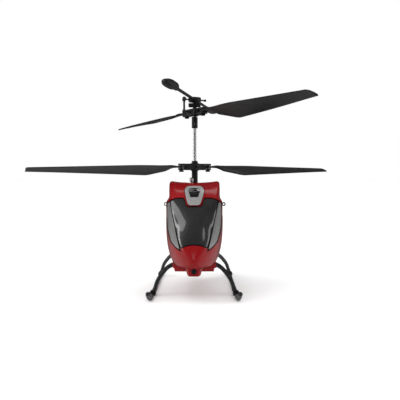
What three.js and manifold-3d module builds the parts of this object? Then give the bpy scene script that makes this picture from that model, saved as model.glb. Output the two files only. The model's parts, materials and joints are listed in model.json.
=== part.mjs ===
// Coaxial remote control helicopter with a 190 mm rotor: two contra-rotating two-blade rotors, a flybar,
// a twin-motor gear stack, a nose canopy, a tail boom with a lifting tail rotor, and a skid landing gear.
// Millimetres, +Z up, the nose towards -Y. The origin is on the ground in the middle of the overall box.
import * as THREE from 'three';
import { mergeVertices } from 'three/addons/utils/BufferGeometryUtils.js';
import Module from 'manifold-3d';

const wasm = await Module();
wasm.setup();

// ---------------------------------------------------------------- driving dimensions
const GAP = 0.3;                  // air between fixed neighbours
const RUN = 0.05;                 // radial running clearance of a shaft in its bore
const MAST_Y = -30.65;            // the mast stands forward of the middle of the overall length

const ROTOR_RADIUS = 95;
const LOWER_ROTOR_Z = 68.6;
const UPPER_ROTOR_Z = LOWER_ROTOR_Z + 30.9;
const FLYBAR_Z = LOWER_ROTOR_Z + 37.9;
const LOWER_AZIMUTH = 28.5;       // rest angles of the blades and the flybar, seen from above
const UPPER_AZIMUTH = -57.2;
const FLYBAR_AZIMUTH = -100.5;
const UPPER_TILT = 1.2;           // the upper blade grip rests a little off level

const BLADE_ROOT = 6.5;           // radius where the root tab begins
const BLADE_BOLT = 8.5;           // radius of the bolt that each blade swings on
const BLADE_CORNER = 23.7;        // radius where the blade is widest
const BLADE_TRAIL = 14.5;         // trailing edge behind the pitch axis at that corner
const TAB_THICK = 1.1;
const TAB_HALF = 2.1;
const TAB_END = 11;               // radius where the tab begins to widen into the blade
const BLADE_LEAD = 4.15;          // leading edge ahead of the pitch axis, outboard
const TIP_TRAIL = 4.27;           // trailing edge behind it at the tip
const PITCH_START = 11.2;         // the blade twists up to its pitch between these radii
const PITCH_FULL = 16;
const PITCH_CORNER = 18.5;
const PITCH_TIP = 11.9;
const DROOP = 1.14;

const INNER_SHAFT_R = 0.9;
const OUTER_SHAFT_R = 1.72;
const BOLT_R = 0.6;
const FORK_SLOT = 1.5;            // height of the slots that take the root tabs
const GRIP_PIN_R = 0.55;
const SEESAW_PIN_R = 0.5;
const ARM_R = 0.45;

const MODULE = 0.4;               // gear tooth module
const GEAR_TEETH = 46;
const PINION_TEETH = 10;
const GEAR_THICK = 2.5;
const PITCH_R = MODULE * GEAR_TEETH / 2;
const MOTOR_Y = PITCH_R + MODULE * PINION_TEETH / 2 + 0.06;
const INNER_GEAR_Z = 19.6;        // underside of the inner shaft's gear
const OUTER_GEAR_Z = 23.6;        // underside of the outer shaft's gear
const MOTOR_R = 3.5;
const MOTOR_Z = 29.2;
const MOTOR_LENGTH = 16;
const DECK_Z = 27.2;
const DECK_THICK = 1.2;

const PLATE_X = 6.2;              // inner face of each frame side plate
const PLATE_THICK = 1;
const BOOM_R = 1.9;
const BOOM_Z = 43;
const BOOM_START = 19;            // distances behind the mast
const BOOM_END = 130;
const BOOM_STRUT_R = 0.7;
const TAIL_ROTOR_Y = 134.5;
const TAIL_ROTOR_R = 13.5;
const TAIL_ROTOR_Z = 49.2;
const TAIL_MOTOR_R = 3.3;

const BODY_FRONT = -49;           // canopy nose, ahead of the mast
const BODY_BACK = 18;             // the canopy is trimmed slanting ahead of this
const BODY_HALF = 15.5;           // half the greatest width of the canopy
const BODY_WIDE_Z = 42;           // height of that greatest width
const ROOF_Z = 60.9;
const NOSE_Z = 22;                // height of the nose's tip
const BELLY_Z = 13.8;
const SPLIT_Z = 18.2;             // the belly pan ends and the canopy begins
const ROOF_BACK = -8;             // rear end of the roof, from where the canopy is trimmed
const REAR_SLANT = 28;            // that far off upright
const SHELL = 1.5;                // canopy wall
const PANEL = 0.5;                // thickness of the panels let into the canopy
const POCKET = 1;                 // depth of their pockets

const SKID_X = 22.4;
const SKID_R = 1.05;
const STRUT_R = 1.1;
const SKID_FRONT = -34;
const SKID_BACK = 45;

const AIRFRAME_RED = 0x8f0c10;
const BLACK = 0x161618;
const STEEL = 0xb9babd;
const SILVER = 0xa6a8a3;
const NYLON = 0xd8d8d2;
const BRASS = 0xb08d4a;
const BOLT_GREY = 0x2a2a2c;
const PLATE_GREY = 0x2b2b2d;
const CARBON = 0x1d1d1f;
const WINDOW_GREY = 0x7d8080;
const PIN_GREY = 0x77787a;
const GLASS = 0x080808;
const WRAP_BLUE = 0x3a4a6b;
const BOARD_GREEN = 0x1d5a33;

const deg = THREE.MathUtils.degToRad;
const lerp = THREE.MathUtils.lerp;
const smooth = THREE.MathUtils.smoothstep;

// ---------------------------------------------------------------- solids
// A closed geometry as a manifold solid.
function solid(geometry) {
  const plain = geometry.clone();
  plain.deleteAttribute('normal');
  plain.deleteAttribute('uv');
  const merged = mergeVertices(plain, 1e-4);
  return new wasm.Manifold(new wasm.Mesh({
    numProp: 3,
    vertProperties: merged.attributes.position.array,
    triVerts: new Uint32Array(merged.index.array),
  }));
}

function geometryOf(made) {
  const mesh = made.getMesh();
  const geometry = new THREE.BufferGeometry();
  geometry.setAttribute('position', new THREE.BufferAttribute(new Float32Array(mesh.vertProperties), 3));
  geometry.setIndex(new THREE.BufferAttribute(new Uint32Array(mesh.triVerts), 1));
  geometry.computeVertexNormals();
  return geometry;
}

// The largest of a solid's separate surfaces, without crumbs or bubbles left by a cut.
const bigger = (one, other) => (other.volume() > one.volume() ? other : one);
const largest = (made) => made.decompose().reduce(bigger);
const less = (body, tool) => body.subtract(solid(tool));
const cut = (body, ...tools) => geometryOf(tools.reduce(less, solid(body)));
const join = (...bodies) => geometryOf(bodies.map(solid).reduce((all, body) => all.add(body)));

// Moves every vertex of a closed geometry, and turns its faces round if the move has mirrored them.
function mapped(geometry, place) {
  const positions = geometry.attributes.position;
  const point = new THREE.Vector3();
  for (let i = 0; i < positions.count; i += 1) {
    point.fromBufferAttribute(positions, i);
    place(point);
    positions.setXYZ(i, point.x, point.y, point.z);
  }
  const made = new THREE.BufferGeometry();
  made.setAttribute('position', positions);
  made.setIndex(geometry.index);
  if (volume(made) < 0) {
    const index = made.index.array;
    for (let i = 0; i < index.length; i += 3) [index[i], index[i + 1]] = [index[i + 1], index[i]];
  }
  made.computeVertexNormals();
  return made;
}

function volume(geometry) {
  const [a, b, c] = [new THREE.Vector3(), new THREE.Vector3(), new THREE.Vector3()];
  let total = 0;
  for (let i = 0; i < geometry.index.count; i += 3) {
    a.fromBufferAttribute(geometry.attributes.position, geometry.index.getX(i));
    b.fromBufferAttribute(geometry.attributes.position, geometry.index.getX(i + 1));
    c.fromBufferAttribute(geometry.attributes.position, geometry.index.getX(i + 2));
    total += a.dot(b.cross(c)) / 6;
  }
  return total;
}

// An upright cylinder between two heights.
function rod(radius, bottom, top, sides = 16, x = 0, y = 0) {
  const made = new THREE.CylinderGeometry(radius, radius, top - bottom, sides);
  return made.rotateX(Math.PI / 2).translate(x, y, (bottom + top) / 2);
}

// A box by its lowest and highest corners.
function block(low, high) {
  const made = new THREE.BoxGeometry(high[0] - low[0], high[1] - low[1], high[2] - low[2]);
  return made.translate((low[0] + high[0]) / 2, (low[1] + high[1]) / 2, (low[2] + high[2]) / 2);
}

// A solid of revolution about the upright axis: profile points are [radius, height].
function turned(profile, sides = 16) {
  const points = profile.map(([radius, height]) => new THREE.Vector2(radius, height));
  return new THREE.LatheGeometry(points, sides).rotateX(Math.PI / 2);
}

// A ring with a square section.
const ring = (inner, outer, bottom, top, sides = 16) => turned(
  [[inner, bottom], [outer, bottom], [outer, top], [inner, top], [inner, bottom]], sides);

// An outline in the X-Y plane, extruded upwards from a height.
function plate(points, bottom, thickness, holes = []) {
  const shape = new THREE.Shape(points.map(([x, y]) => new THREE.Vector2(x, y)));
  shape.holes = holes.map(({ x, y, r }) => new THREE.Path().absellipse(x, y, r, r, 0, 2 * Math.PI, true));
  const made = new THREE.ExtrudeGeometry(shape, { depth: thickness, bevelEnabled: false, curveSegments: 6 });
  return made.translate(0, 0, bottom);
}

// A round tube along a smooth curve through points.
function tube(points, radius, steps, sides = 8) {
  const section = new THREE.Shape();
  for (let i = 0; i < sides; i += 1) {
    const angle = (i + 0.5) / sides * 2 * Math.PI;
    const spot = [radius * Math.cos(angle), radius * Math.sin(angle)];
    if (i === 0) section.moveTo(...spot);
    else section.lineTo(...spot);
  }
  section.closePath();
  const curve = new THREE.CatmullRomCurve3(points.map((p) => new THREE.Vector3(...p)), false, 'centripetal');
  return new THREE.ExtrudeGeometry(section, { steps, extrudePath: curve, bevelEnabled: false });
}

// Turns an X-Y plate up so that its Y becomes Z and its thickness runs along X.
const standing = (geometry) => geometry.rotateX(Math.PI / 2).rotateZ(Math.PI / 2);

// ---------------------------------------------------------------- the part's tree
const helicopter = new THREE.Group();
const airframe = new THREE.Group();
airframe.position.set(0, MAST_Y, 0);
helicopter.add(airframe);

// A group on the mast's axis at a height, turned to an azimuth.
function onMast(height, azimuth) {
  const group = new THREE.Group();
  group.position.set(0, MAST_Y, height);
  group.rotation.z = deg(azimuth);
  helicopter.add(group);
  return group;
}

function add(group, name, geometry, color, roughness = 0.5, metalness = 0) {
  const mesh = new THREE.Mesh(geometry, new THREE.MeshStandardMaterial({ color, roughness, metalness }));
  mesh.name = name;
  group.add(mesh);
  return mesh;
}

// ---------------------------------------------------------------- rotor blades
// Half the root tab's width at a radius: a round end about the bolt, then parallel.
function tabHalf(radius) {
  const inward = Math.max(0, BLADE_BOLT - radius) / (BLADE_BOLT - BLADE_ROOT + 0.15);
  return TAB_HALF * Math.sqrt(Math.max(0.05, 1 - inward * inward));
}

const leadingEdge = (radius) => lerp(tabHalf(radius), BLADE_LEAD, smooth(radius, TAB_END, 40));

function trailingEdge(radius) {
  const widening = Math.max(0, (radius - TAB_END) / (BLADE_CORNER - TAB_END));
  if (radius < BLADE_CORNER) return lerp(tabHalf(radius), BLADE_TRAIL, widening);
  const out = (radius - BLADE_CORNER) / (ROTOR_RADIUS - BLADE_CORNER);
  return lerp(BLADE_TRAIL, TIP_TRAIL, out) + 0.9 * Math.sin(Math.PI * out);
}

// A blade along +X whose leading edge is on the side that `turning` gives: 1 is +Y, -1 is -Y.
function blade(turning) {
  const inboard = 6;
  const outboard = 7;
  const made = mapped(new THREE.BoxGeometry(1, 1, 1, inboard + outboard, 3, 1), (point) => {
    const step = Math.round((point.x + 0.5) * (inboard + outboard));
    const radius = step <= inboard
      ? lerp(BLADE_ROOT, BLADE_CORNER, step / inboard)
      : lerp(BLADE_CORNER, ROTOR_RADIUS, (step - inboard) / outboard);
    const across = point.y + 0.5;
    const upper = point.z > 0;
    const wing = smooth(radius, TAB_END, BLADE_CORNER);
    const chord = leadingEdge(radius) + trailingEdge(radius);
    const forward = lerp(-trailingEdge(radius), leadingEdge(radius), across);
    const pitch = deg(radius < BLADE_CORNER ? PITCH_CORNER * smooth(radius, PITCH_START, PITCH_FULL)
      : lerp(PITCH_CORNER, PITCH_TIP, (radius - BLADE_CORNER) / (ROTOR_RADIUS - BLADE_CORNER)));
    const camber = wing * chord * 0.05 * (1 - (2 * across - 1) ** 2);
    const edge = lerp(TAB_THICK, lerp(0.45, 0.8, across), wing) + wing * 0.5 * Math.sin(Math.PI * across);
    const height = camber + (upper ? 0.5 : -0.5) * edge;
    const sink = Math.tan(deg(DROOP)) * Math.max(0, radius - TAB_END);
    const tipCut = step === inboard + outboard ? 1.4 * (1 - across) : 0;
    point.set(
      radius - tipCut,
      turning * (forward * Math.cos(pitch) - height * Math.sin(pitch)),
      forward * Math.sin(pitch) + height * Math.cos(pitch) - sink,
    );
  });
  return cut(made, rod(BOLT_R + RUN, -2, 2, 16, BLADE_BOLT, 0));
}

// A bolt through a grip and its blade: the head is below, and the shank ends above the grip.
const gripBolt = (half) => turned([
  [0, -half - 1], [1.3, -half - 1], [1.3, -half - 0.1], [BOLT_R, -half - 0.1], [BOLT_R, half], [0, half],
], 12).translate(BLADE_BOLT, 0, 0);

// The open slots that take the two root tabs, and the bolt holes across them.
function forkCuts(reach) {
  const [near, far] = [BLADE_ROOT - 0.6, reach + 1];
  const middle = (near + far) / 2;
  return [1, -1].flatMap((side) => [
    new THREE.BoxGeometry(far - near, 6, FORK_SLOT).translate(side * middle, 0, 0),
    rod(BOLT_R + RUN, -4, 4, 16, side * BLADE_BOLT, 0),
  ]);
}

// Two blades and their bolts in a rotor's group: blade a along +X, blade b along -X.
function bladePair(group, prefix, turning, gripHalf) {
  for (const [letter, angle] of [['a', 0], ['b', Math.PI]]) {
    const turn = (geometry) => geometry.rotateZ(angle);
    add(group, `${prefix}_blade_${letter}`, turn(blade(turning)), BLACK, 0.35);
    add(group, `${prefix}_blade_bolt_${letter}`, turn(gripBolt(gripHalf)), BOLT_GREY, 0.3, 0.6);
  }
}

// A straight-sided gear with its teeth round the mast, or round the place it is moved to.
function gear(teeth, bore, bottom, thick, phase) {
  const pitchRadius = MODULE * teeth / 2;
  const step = 2 * Math.PI / teeth;
  const points = [];
  for (let i = 0; i < teeth; i += 1) {
    const middle = phase + i * step;
    for (const [radius, share] of [[-0.44, -0.29], [0.36, -0.12], [0.36, 0.12], [-0.44, 0.29]]) {
      const angle = middle + share * step;
      const reach = pitchRadius + radius;
      points.push([reach * Math.cos(angle), reach * Math.sin(angle)]);
    }
  }
  return cut(plate(points, bottom, thick), rod(bore, bottom - 1, bottom + thick + 1, 16));
}

// ---------------------------------------------------------------- lower rotor, on the outer shaft
function lowerRotor() {
  const half = 1.85;
  const reach = 10;
  const rotor = onMast(LOWER_ROTOR_Z, LOWER_AZIMUTH);
  const hub = join(
    block([-reach, -2.2, -half], [reach, 2.2, half]),
    rod(2.9, -half - 0.4, half + 0.5, 16),
  );
  add(rotor, 'lower_rotor_hub', cut(hub, rod(OUTER_SHAFT_R + RUN, -5, 5, 16), ...forkCuts(reach)), BLACK);
  bladePair(rotor, 'lower', 1, half);
  const shaft = onMast(0, 0);
  const sleeve = ring(INNER_SHAFT_R + 0.08, OUTER_SHAFT_R, OUTER_GEAR_Z - 0.5, LOWER_ROTOR_Z + 3.4);
  add(shaft, 'outer_shaft', sleeve, BLACK, 0.3);
  const wheel = gear(GEAR_TEETH, OUTER_SHAFT_R + RUN, OUTER_GEAR_Z, GEAR_THICK, Math.PI / 2);
  add(shaft, 'outer_shaft_gear', wheel, NYLON);
}

// ---------------------------------------------------------------- upper rotor, on the inner shaft
const ARM_REACH = 7;              // linkage balls stand this far from the mast
const BALL_R = 0.75;
const ARM_AZIMUTH = UPPER_AZIMUTH - 90;
const SEESAW_AZIMUTH = FLYBAR_AZIMUTH + 90;
const SHAFT_TOP = UPPER_ROTOR_Z - 1.4;
const COLLAR_R = 1.7;

// The upper end of the inner shaft: two crossed pivot pins on a slim post with a cross block between them.
function rotorHead() {
  const seesawPin = new THREE.CylinderGeometry(SEESAW_PIN_R, SEESAW_PIN_R, 6.4, 16).rotateZ(Math.PI / 2)
    .rotateZ(deg(SEESAW_AZIMUTH)).translate(0, 0, FLYBAR_Z);
  const gripPin = new THREE.CylinderGeometry(GRIP_PIN_R, GRIP_PIN_R, 9, 16).rotateZ(Math.PI / 2)
    .rotateY(-deg(UPPER_TILT)).rotateZ(deg(UPPER_AZIMUTH)).translate(0, 0, UPPER_ROTOR_Z);
  const crossBlock = block([-3.2, -1.5, UPPER_ROTOR_Z + 2.9], [3.2, 1.5, UPPER_ROTOR_Z + 5.1])
    .rotateZ(deg(-12));
  const head = join(
    rod(COLLAR_R, UPPER_ROTOR_Z - 2.4, UPPER_ROTOR_Z + 1.5, 16),
    rod(1.1, UPPER_ROTOR_Z, FLYBAR_Z + 0.9, 16),
    crossBlock,
    gripPin,
    seesawPin,
  );
  return cut(head, rod(INNER_SHAFT_R + RUN, UPPER_ROTOR_Z - 3, SHAFT_TOP + 0.2, 16));
}

function upperRotor() {
  const shaft = onMast(0, 0);
  add(shaft, 'inner_shaft', rod(INNER_SHAFT_R, 15.2, SHAFT_TOP, 16), STEEL, 0.25, 1);
  const wheel = gear(GEAR_TEETH, INNER_SHAFT_R + RUN, INNER_GEAR_Z, GEAR_THICK, Math.PI / 2);
  add(shaft, 'inner_shaft_gear', wheel, NYLON);
  const collar = ring(INNER_SHAFT_R + RUN, COLLAR_R, LOWER_ROTOR_Z + 21.9, UPPER_ROTOR_Z - 2.7);
  add(shaft, 'inner_shaft_collar', collar, BLACK, 0.4);
  add(shaft, 'rotor_head', rotorHead(), BLACK, 0.4);

  const grip = new THREE.Group();
  const frame = onMast(UPPER_ROTOR_Z, UPPER_AZIMUTH);
  grip.rotation.y = -deg(UPPER_TILT);
  frame.add(grip);
  const half = 1.75;
  const reach = 11;
  const flank = 3.1;
  const arm = new THREE.CylinderGeometry(ARM_R, ARM_R, ARM_REACH - flank, 12)
    .translate(0, -(ARM_REACH + flank) / 2, 0);
  const body = join(
    block([-reach, -2.3, -half], [reach, 2.3, half]),
    block([-4.6, -3.3, -half], [4.6, 3.3, half]),
    arm,
    new THREE.SphereGeometry(BALL_R, 8, 6).translate(0, -ARM_REACH, 0),
  );
  const bore = new THREE.CylinderGeometry(GRIP_PIN_R + 0.07, GRIP_PIN_R + 0.07, 11, 16).rotateZ(Math.PI / 2);
  const window = block([-2.5, -2.5, -3], [2.5, 2.5, 3]);
  add(grip, 'upper_blade_grip', cut(body, window, bore, ...forkCuts(reach)), BLACK, 0.4);
  bladePair(grip, 'upper', -1, half);
}

// ---------------------------------------------------------------- flybar, on the rotor head's upper pin
const WEIGHT_START = 48;
const WEIGHT_LENGTH = 21.5;
const WEIGHT_HALF = 3;            // half width of a weight, and its half height
const WEIGHT_RISE = 2;
const FLYBAR_R = 0.82;
const ROD_START = 2.6;            // the rods begin this far from the mast
const ROD_END = WEIGHT_START + 3; // and end inside the weights

function flybar() {
  const pivot = onMast(FLYBAR_Z, FLYBAR_AZIMUTH);
  const armAngle = deg(ARM_AZIMUTH - FLYBAR_AZIMUTH);
  const along = (geometry) => geometry.rotateZ(Math.PI / 2);
  const arms = [0, Math.PI].flatMap((side) => [
    along(new THREE.CylinderGeometry(0.4, 0.4, ARM_REACH - ROD_START, 12))
      .translate((ARM_REACH + ROD_START) / 2, 0, 0).rotateZ(armAngle + side),
    new THREE.SphereGeometry(BALL_R, 8, 6).translate(ARM_REACH, 0, 0).rotateZ(armAngle + side),
  ]);
  const body = join(
    turned([[0, -1.3], [3.4, -1.3], [3.6, -1], [3.6, 1], [3.4, 1.3], [0, 1.3]], 16),
    block([-5, -1.25, -1.1], [5, 1.25, 1.1]),
    ...arms,
  );
  const socket = along(new THREE.CylinderGeometry(FLYBAR_R + RUN, FLYBAR_R + RUN, 12, 16));
  const pinBore = new THREE.CylinderGeometry(SEESAW_PIN_R + 0.07, SEESAW_PIN_R + 0.07, 6.8, 16);
  const window = block([-1.9, -1.9, -2], [1.9, 1.9, 2]);
  add(pivot, 'flybar_hub', cut(body, window, socket, pinBore), BLACK, 0.4);
  for (const [name, angle] of [['front', 0], ['rear', Math.PI]]) {
    const bar = along(new THREE.CylinderGeometry(FLYBAR_R, FLYBAR_R, ROD_END - ROD_START, 14))
      .translate((ROD_END + ROD_START) / 2, 0, 0);
    add(pivot, `flybar_rod_${name}`, bar.rotateZ(angle), BLACK, 0.35);
    add(pivot, `flybar_weight_${name}`, flybarWeight().rotateZ(angle), BLACK, 0.4);
  }
}

// A slender oval bob with a bore for the end of its rod.
function flybarWeight() {
  const swell = (share) => Math.sqrt(Math.max(0.06, 1 - Math.abs(2 * share - 1) ** 3));
  const bob = mapped(new THREE.CylinderGeometry(1, 1, 1, 12, 7), (point) => {
    const share = point.y + 0.5;
    const [x, z] = [WEIGHT_HALF * swell(share) * point.x, WEIGHT_RISE * swell(share) * point.z];
    point.set(WEIGHT_START + WEIGHT_LENGTH * share, x, z);
  });
  const bore = new THREE.CylinderGeometry(FLYBAR_R + RUN, FLYBAR_R + RUN, 8, 14).rotateZ(Math.PI / 2)
    .translate(WEIGHT_START, 0, 0);
  return cut(bob, bore);
}

// The link between the flybar's arm and the grip's arm: an upright rod with a ring round each ball.
function linkRod() {
  const link = onMast(0, ARM_AZIMUTH);
  const eye = (height) => ring(BALL_R + 0.35, BALL_R + 0.95, -0.55, 0.55, 12).rotateY(Math.PI / 2)
    .translate(ARM_REACH, 0, height);
  const low = UPPER_ROTOR_Z;
  const high = FLYBAR_Z;
  const stem = rod(0.5, low + BALL_R + 0.6, high - BALL_R - 0.6, 12, ARM_REACH, 0);
  add(link, 'flybar_link', join(eye(low), stem, eye(high)), BLACK, 0.4);
}

lowerRotor();
upperRotor();
flybar();
linkRod();

// ---------------------------------------------------------------- canopy and belly
// From 1 well behind the nose to 0 at its tip, for a curve that turns down over `length`.
function noseCurve(y, start, length, power, root) {
  const ahead = Math.min(1, Math.max(0, (start - y) / length));
  return (1 - ahead ** power) ** (1 / root);
}

// A point of the canopy's outer skin, moved in by `inset`: y is behind the mast, angle goes round from +X.
function skin(y, angle, inset) {
  const rise = noseCurve(y, BODY_FRONT + 39, 39 - inset, 1.5, 1.7);
  const top = NOSE_Z + (ROOF_Z - NOSE_Z - inset) * rise;
  const middle = NOSE_Z + (BODY_WIDE_Z - NOSE_Z) * rise;
  const bottom = NOSE_Z - (NOSE_Z - BELLY_Z - inset) * noseCurve(y, BODY_FRONT + 19, 19 - inset, 2.2, 2.2);
  const narrow = 1 - 0.2 * smooth(y, 0, BODY_BACK);
  const half = (BODY_HALF * narrow - inset) * noseCurve(y, BODY_FRONT + 37.5, 37.5 - inset, 2.2, 2);
  const [c, s] = [Math.cos(angle), Math.sin(angle)].map((value) => (Math.abs(value) < 1e-6 ? 0 : value));
  const boxy = s > 0 ? lerp(2.4, 15, smooth(y, BODY_FRONT + 8, BODY_FRONT + 36)) : 3;
  const across = Math.sign(c) * Math.abs(c) ** (2 / boxy);
  const up = Math.sign(s) * Math.abs(s) ** (2 / boxy);
  const z = middle + up * (s > 0 ? top - middle : middle - bottom);
  const neck = 1 - 0.11 * smooth(z, 49.5, 52.5) * smooth(y, BODY_FRONT + 10, BODY_FRONT + 24);
  const nearRoof = smooth(y, BODY_FRONT + 20, BODY_FRONT + 38) * smooth(z, ROOF_Z - 6, ROOF_Z - 2);
  const dip = 1.3 * nearRoof * (1 - across ** 2);
  return [half * neck * across, z - dip];
}

// The canopy's whole skin as a closed body, moved in by `inset`, or out where that is negative.
function canopyBody(inset, around = 24, along = 14, extra = 0) {
  return mapped(new THREE.CylinderGeometry(1, 1, 1, around, along), (point) => {
    const share = (point.y + 0.5) ** 1.9;
    const y = lerp(BODY_FRONT + inset + 0.02, BODY_BACK + extra, share);
    const reach = Math.min(1, Math.hypot(point.x, point.z));
    const angle = Math.atan2(point.z, point.x);
    const [x, z] = skin(y, angle, inset);
    const [, low] = skin(y, -Math.PI / 2, inset);
    const [, high] = skin(y, Math.PI / 2, inset);
    point.set(x * reach, y, lerp((low + high) / 2, z, reach));
  });
}

// An upright outline of [x, z] points, mirrored in X if asked, swept from ahead of the nose to a distance.
function frontPrism(points, back, mirrored = false) {
  const outline = mirrored ? points.map(([x, z]) => [-x, z]).reverse() : points;
  return plate(outline, 0, 40).rotateX(Math.PI / 2).translate(0, back, 0);
}

// An outline moved outwards all round by an amount.
function grown(points, amount) {
  const corners = points.map(([x, z]) => new THREE.Vector2(x, z));
  const outward = Math.sign(THREE.ShapeUtils.area(corners)) * amount;
  return corners.map((corner, i) => {
    const before = corner.clone().sub(corners.at(i - 1)).normalize();
    const after = corners[(i + 1) % corners.length].clone().sub(corner).normalize();
    const reach = outward / (1 + before.dot(after));
    return [corner.x + reach * (before.y + after.y), corner.y - reach * (before.x + after.x)];
  });
}

const bothSides = (points) => [...points, ...points.map(([x, z]) => [-x, z]).reverse()];
const WINDSCREEN = bothSides([
  [4.1, 47.7], [5.6, 51.9], [9, 51.8], [12.1, 50.9], [11.8, 48],
  [9.9, 40.5], [8.1, 33.5], [6.5, 28.6], [3.6, 29.9], [0.6, 30.3],
]);
const SIDE_WINDOW = [
  [12.7, 50.2], [13.9, 49.6], [14.4, 44], [13.7, 36.5], [11.7, 30.6],
  [9.2, 28.2], [7.2, 27.2], [8.9, 34], [10.6, 41],
];
const BEZEL = bothSides([[3.1, 48.8], [4.6, 53.6], [5.2, 56.2], [4.4, 57.8], [2.4, 58.3]]);
const BEZEL_MOUTH = bothSides([[2.1, 52.6], [2.7, 54.8], [3.2, 55.2], [2.8, 56.8], [1.4, 57.2]]);
const BEZEL_BACK = -17;           // rear ends of the bezel, of the window pockets and of the windows
const POCKET_BACK = -18;
const WINDOW_BACK = -20;

function canopy() {
  const outer = solid(canopyBody(0));
  const [wide, ahead, behind, above] = [30, -80, 80, 80];
  const below = block([-wide, ahead, 0], [wide, behind, SPLIT_Z + GAP / 2]);
  const back = block([-wide, 0, -70], [wide, 70, above]).rotateX(deg(REAR_SLANT))
    .translate(0, ROOF_BACK, ROOF_Z);
  const inner = solid(canopyBody(SHELL, 24, 9, 4));
  const aboveFloor = inner.intersect(solid(block([-wide, ahead, SPLIT_Z + 1.4], [wide, behind, above])));
  const behindNose = inner.intersect(solid(block([-wide, -30, 0], [wide, behind, above])));
  let shell = outer.subtract(aboveFloor).subtract(behindNose).subtract(solid(below)).subtract(solid(back));
  const skinLayer = solid(canopyBody(-1)).subtract(solid(canopyBody(POCKET + 0.05)));
  const pockets = [
    frontPrism(grown(WINDSCREEN, 2 * GAP), POCKET_BACK),
    frontPrism(grown(BEZEL, GAP), BEZEL_BACK),
    frontPrism(grown(SIDE_WINDOW, 2 * GAP), POCKET_BACK),
    frontPrism(grown(SIDE_WINDOW, 2 * GAP), POCKET_BACK, true),
  ];
  for (const pocket of pockets) shell = shell.subtract(skinLayer.intersect(solid(pocket)));
  for (const side of [1, -1]) shell = shell.subtract(solid(canopyPin(side, 0.35)));
  add(airframe, 'canopy', geometryOf(largest(shell)), AIRFRAME_RED, 0.2);
  const panel = solid(canopyBody(0.05)).subtract(solid(canopyBody(0.05 + PANEL)));
  const panelOf = (outline) => geometryOf(largest(panel.intersect(solid(outline))));
  add(airframe, 'windscreen', panelOf(frontPrism(WINDSCREEN, WINDOW_BACK)), CARBON, 0.15);
  add(airframe, 'side_window_right', panelOf(frontPrism(SIDE_WINDOW, WINDOW_BACK)), WINDOW_GREY, 0.15);
  add(airframe, 'side_window_left', panelOf(frontPrism(SIDE_WINDOW, WINDOW_BACK, true)), WINDOW_GREY, 0.15);
  const rim = solid(canopyBody(-0.5)).subtract(solid(canopyBody(PANEL)));
  const mouth = solid(frontPrism(BEZEL_MOUTH, BEZEL_BACK));
  const bezel = rim.intersect(solid(frontPrism(BEZEL, BEZEL_BACK))).subtract(mouth);
  add(airframe, 'intake_bezel', geometryOf(bezel), SILVER, 0.2, 0.9);
}

const PIN_R = 0.6;
const PIN_HEAD_X = 15.75;         // the heads stand off the canopy's sides
const PIN_Y = -6;
const PIN_Z = 47.7;
const LENS_Z = 16.3;
const CHIN_FRONT = BODY_FRONT + 3.4;
const PAN_FRONT = -30;
const PAN_REAR = 26;
const SOCKET = [-4.5, 15];        // middle of the charging socket

// A pin along X that holds the canopy's side to the frame, or the space it takes with a margin.
function canopyPin(side, margin = 0) {
  const start = PLATE_X + PLATE_THICK + GAP;
  const end = PIN_HEAD_X + 0.85;
  const profile = [
    [0, start], [PIN_R, start], [PIN_R, PIN_HEAD_X], [1.15, PIN_HEAD_X], [1.15, end], [0, end],
  ];
  const made = margin > 0 ? rod(PIN_R + margin, 12, PIN_HEAD_X - 0.1, 12) : turned(profile, 12);
  return made.rotateY(side * Math.PI / 2).translate(0, PIN_Y, PIN_Z);
}

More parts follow.
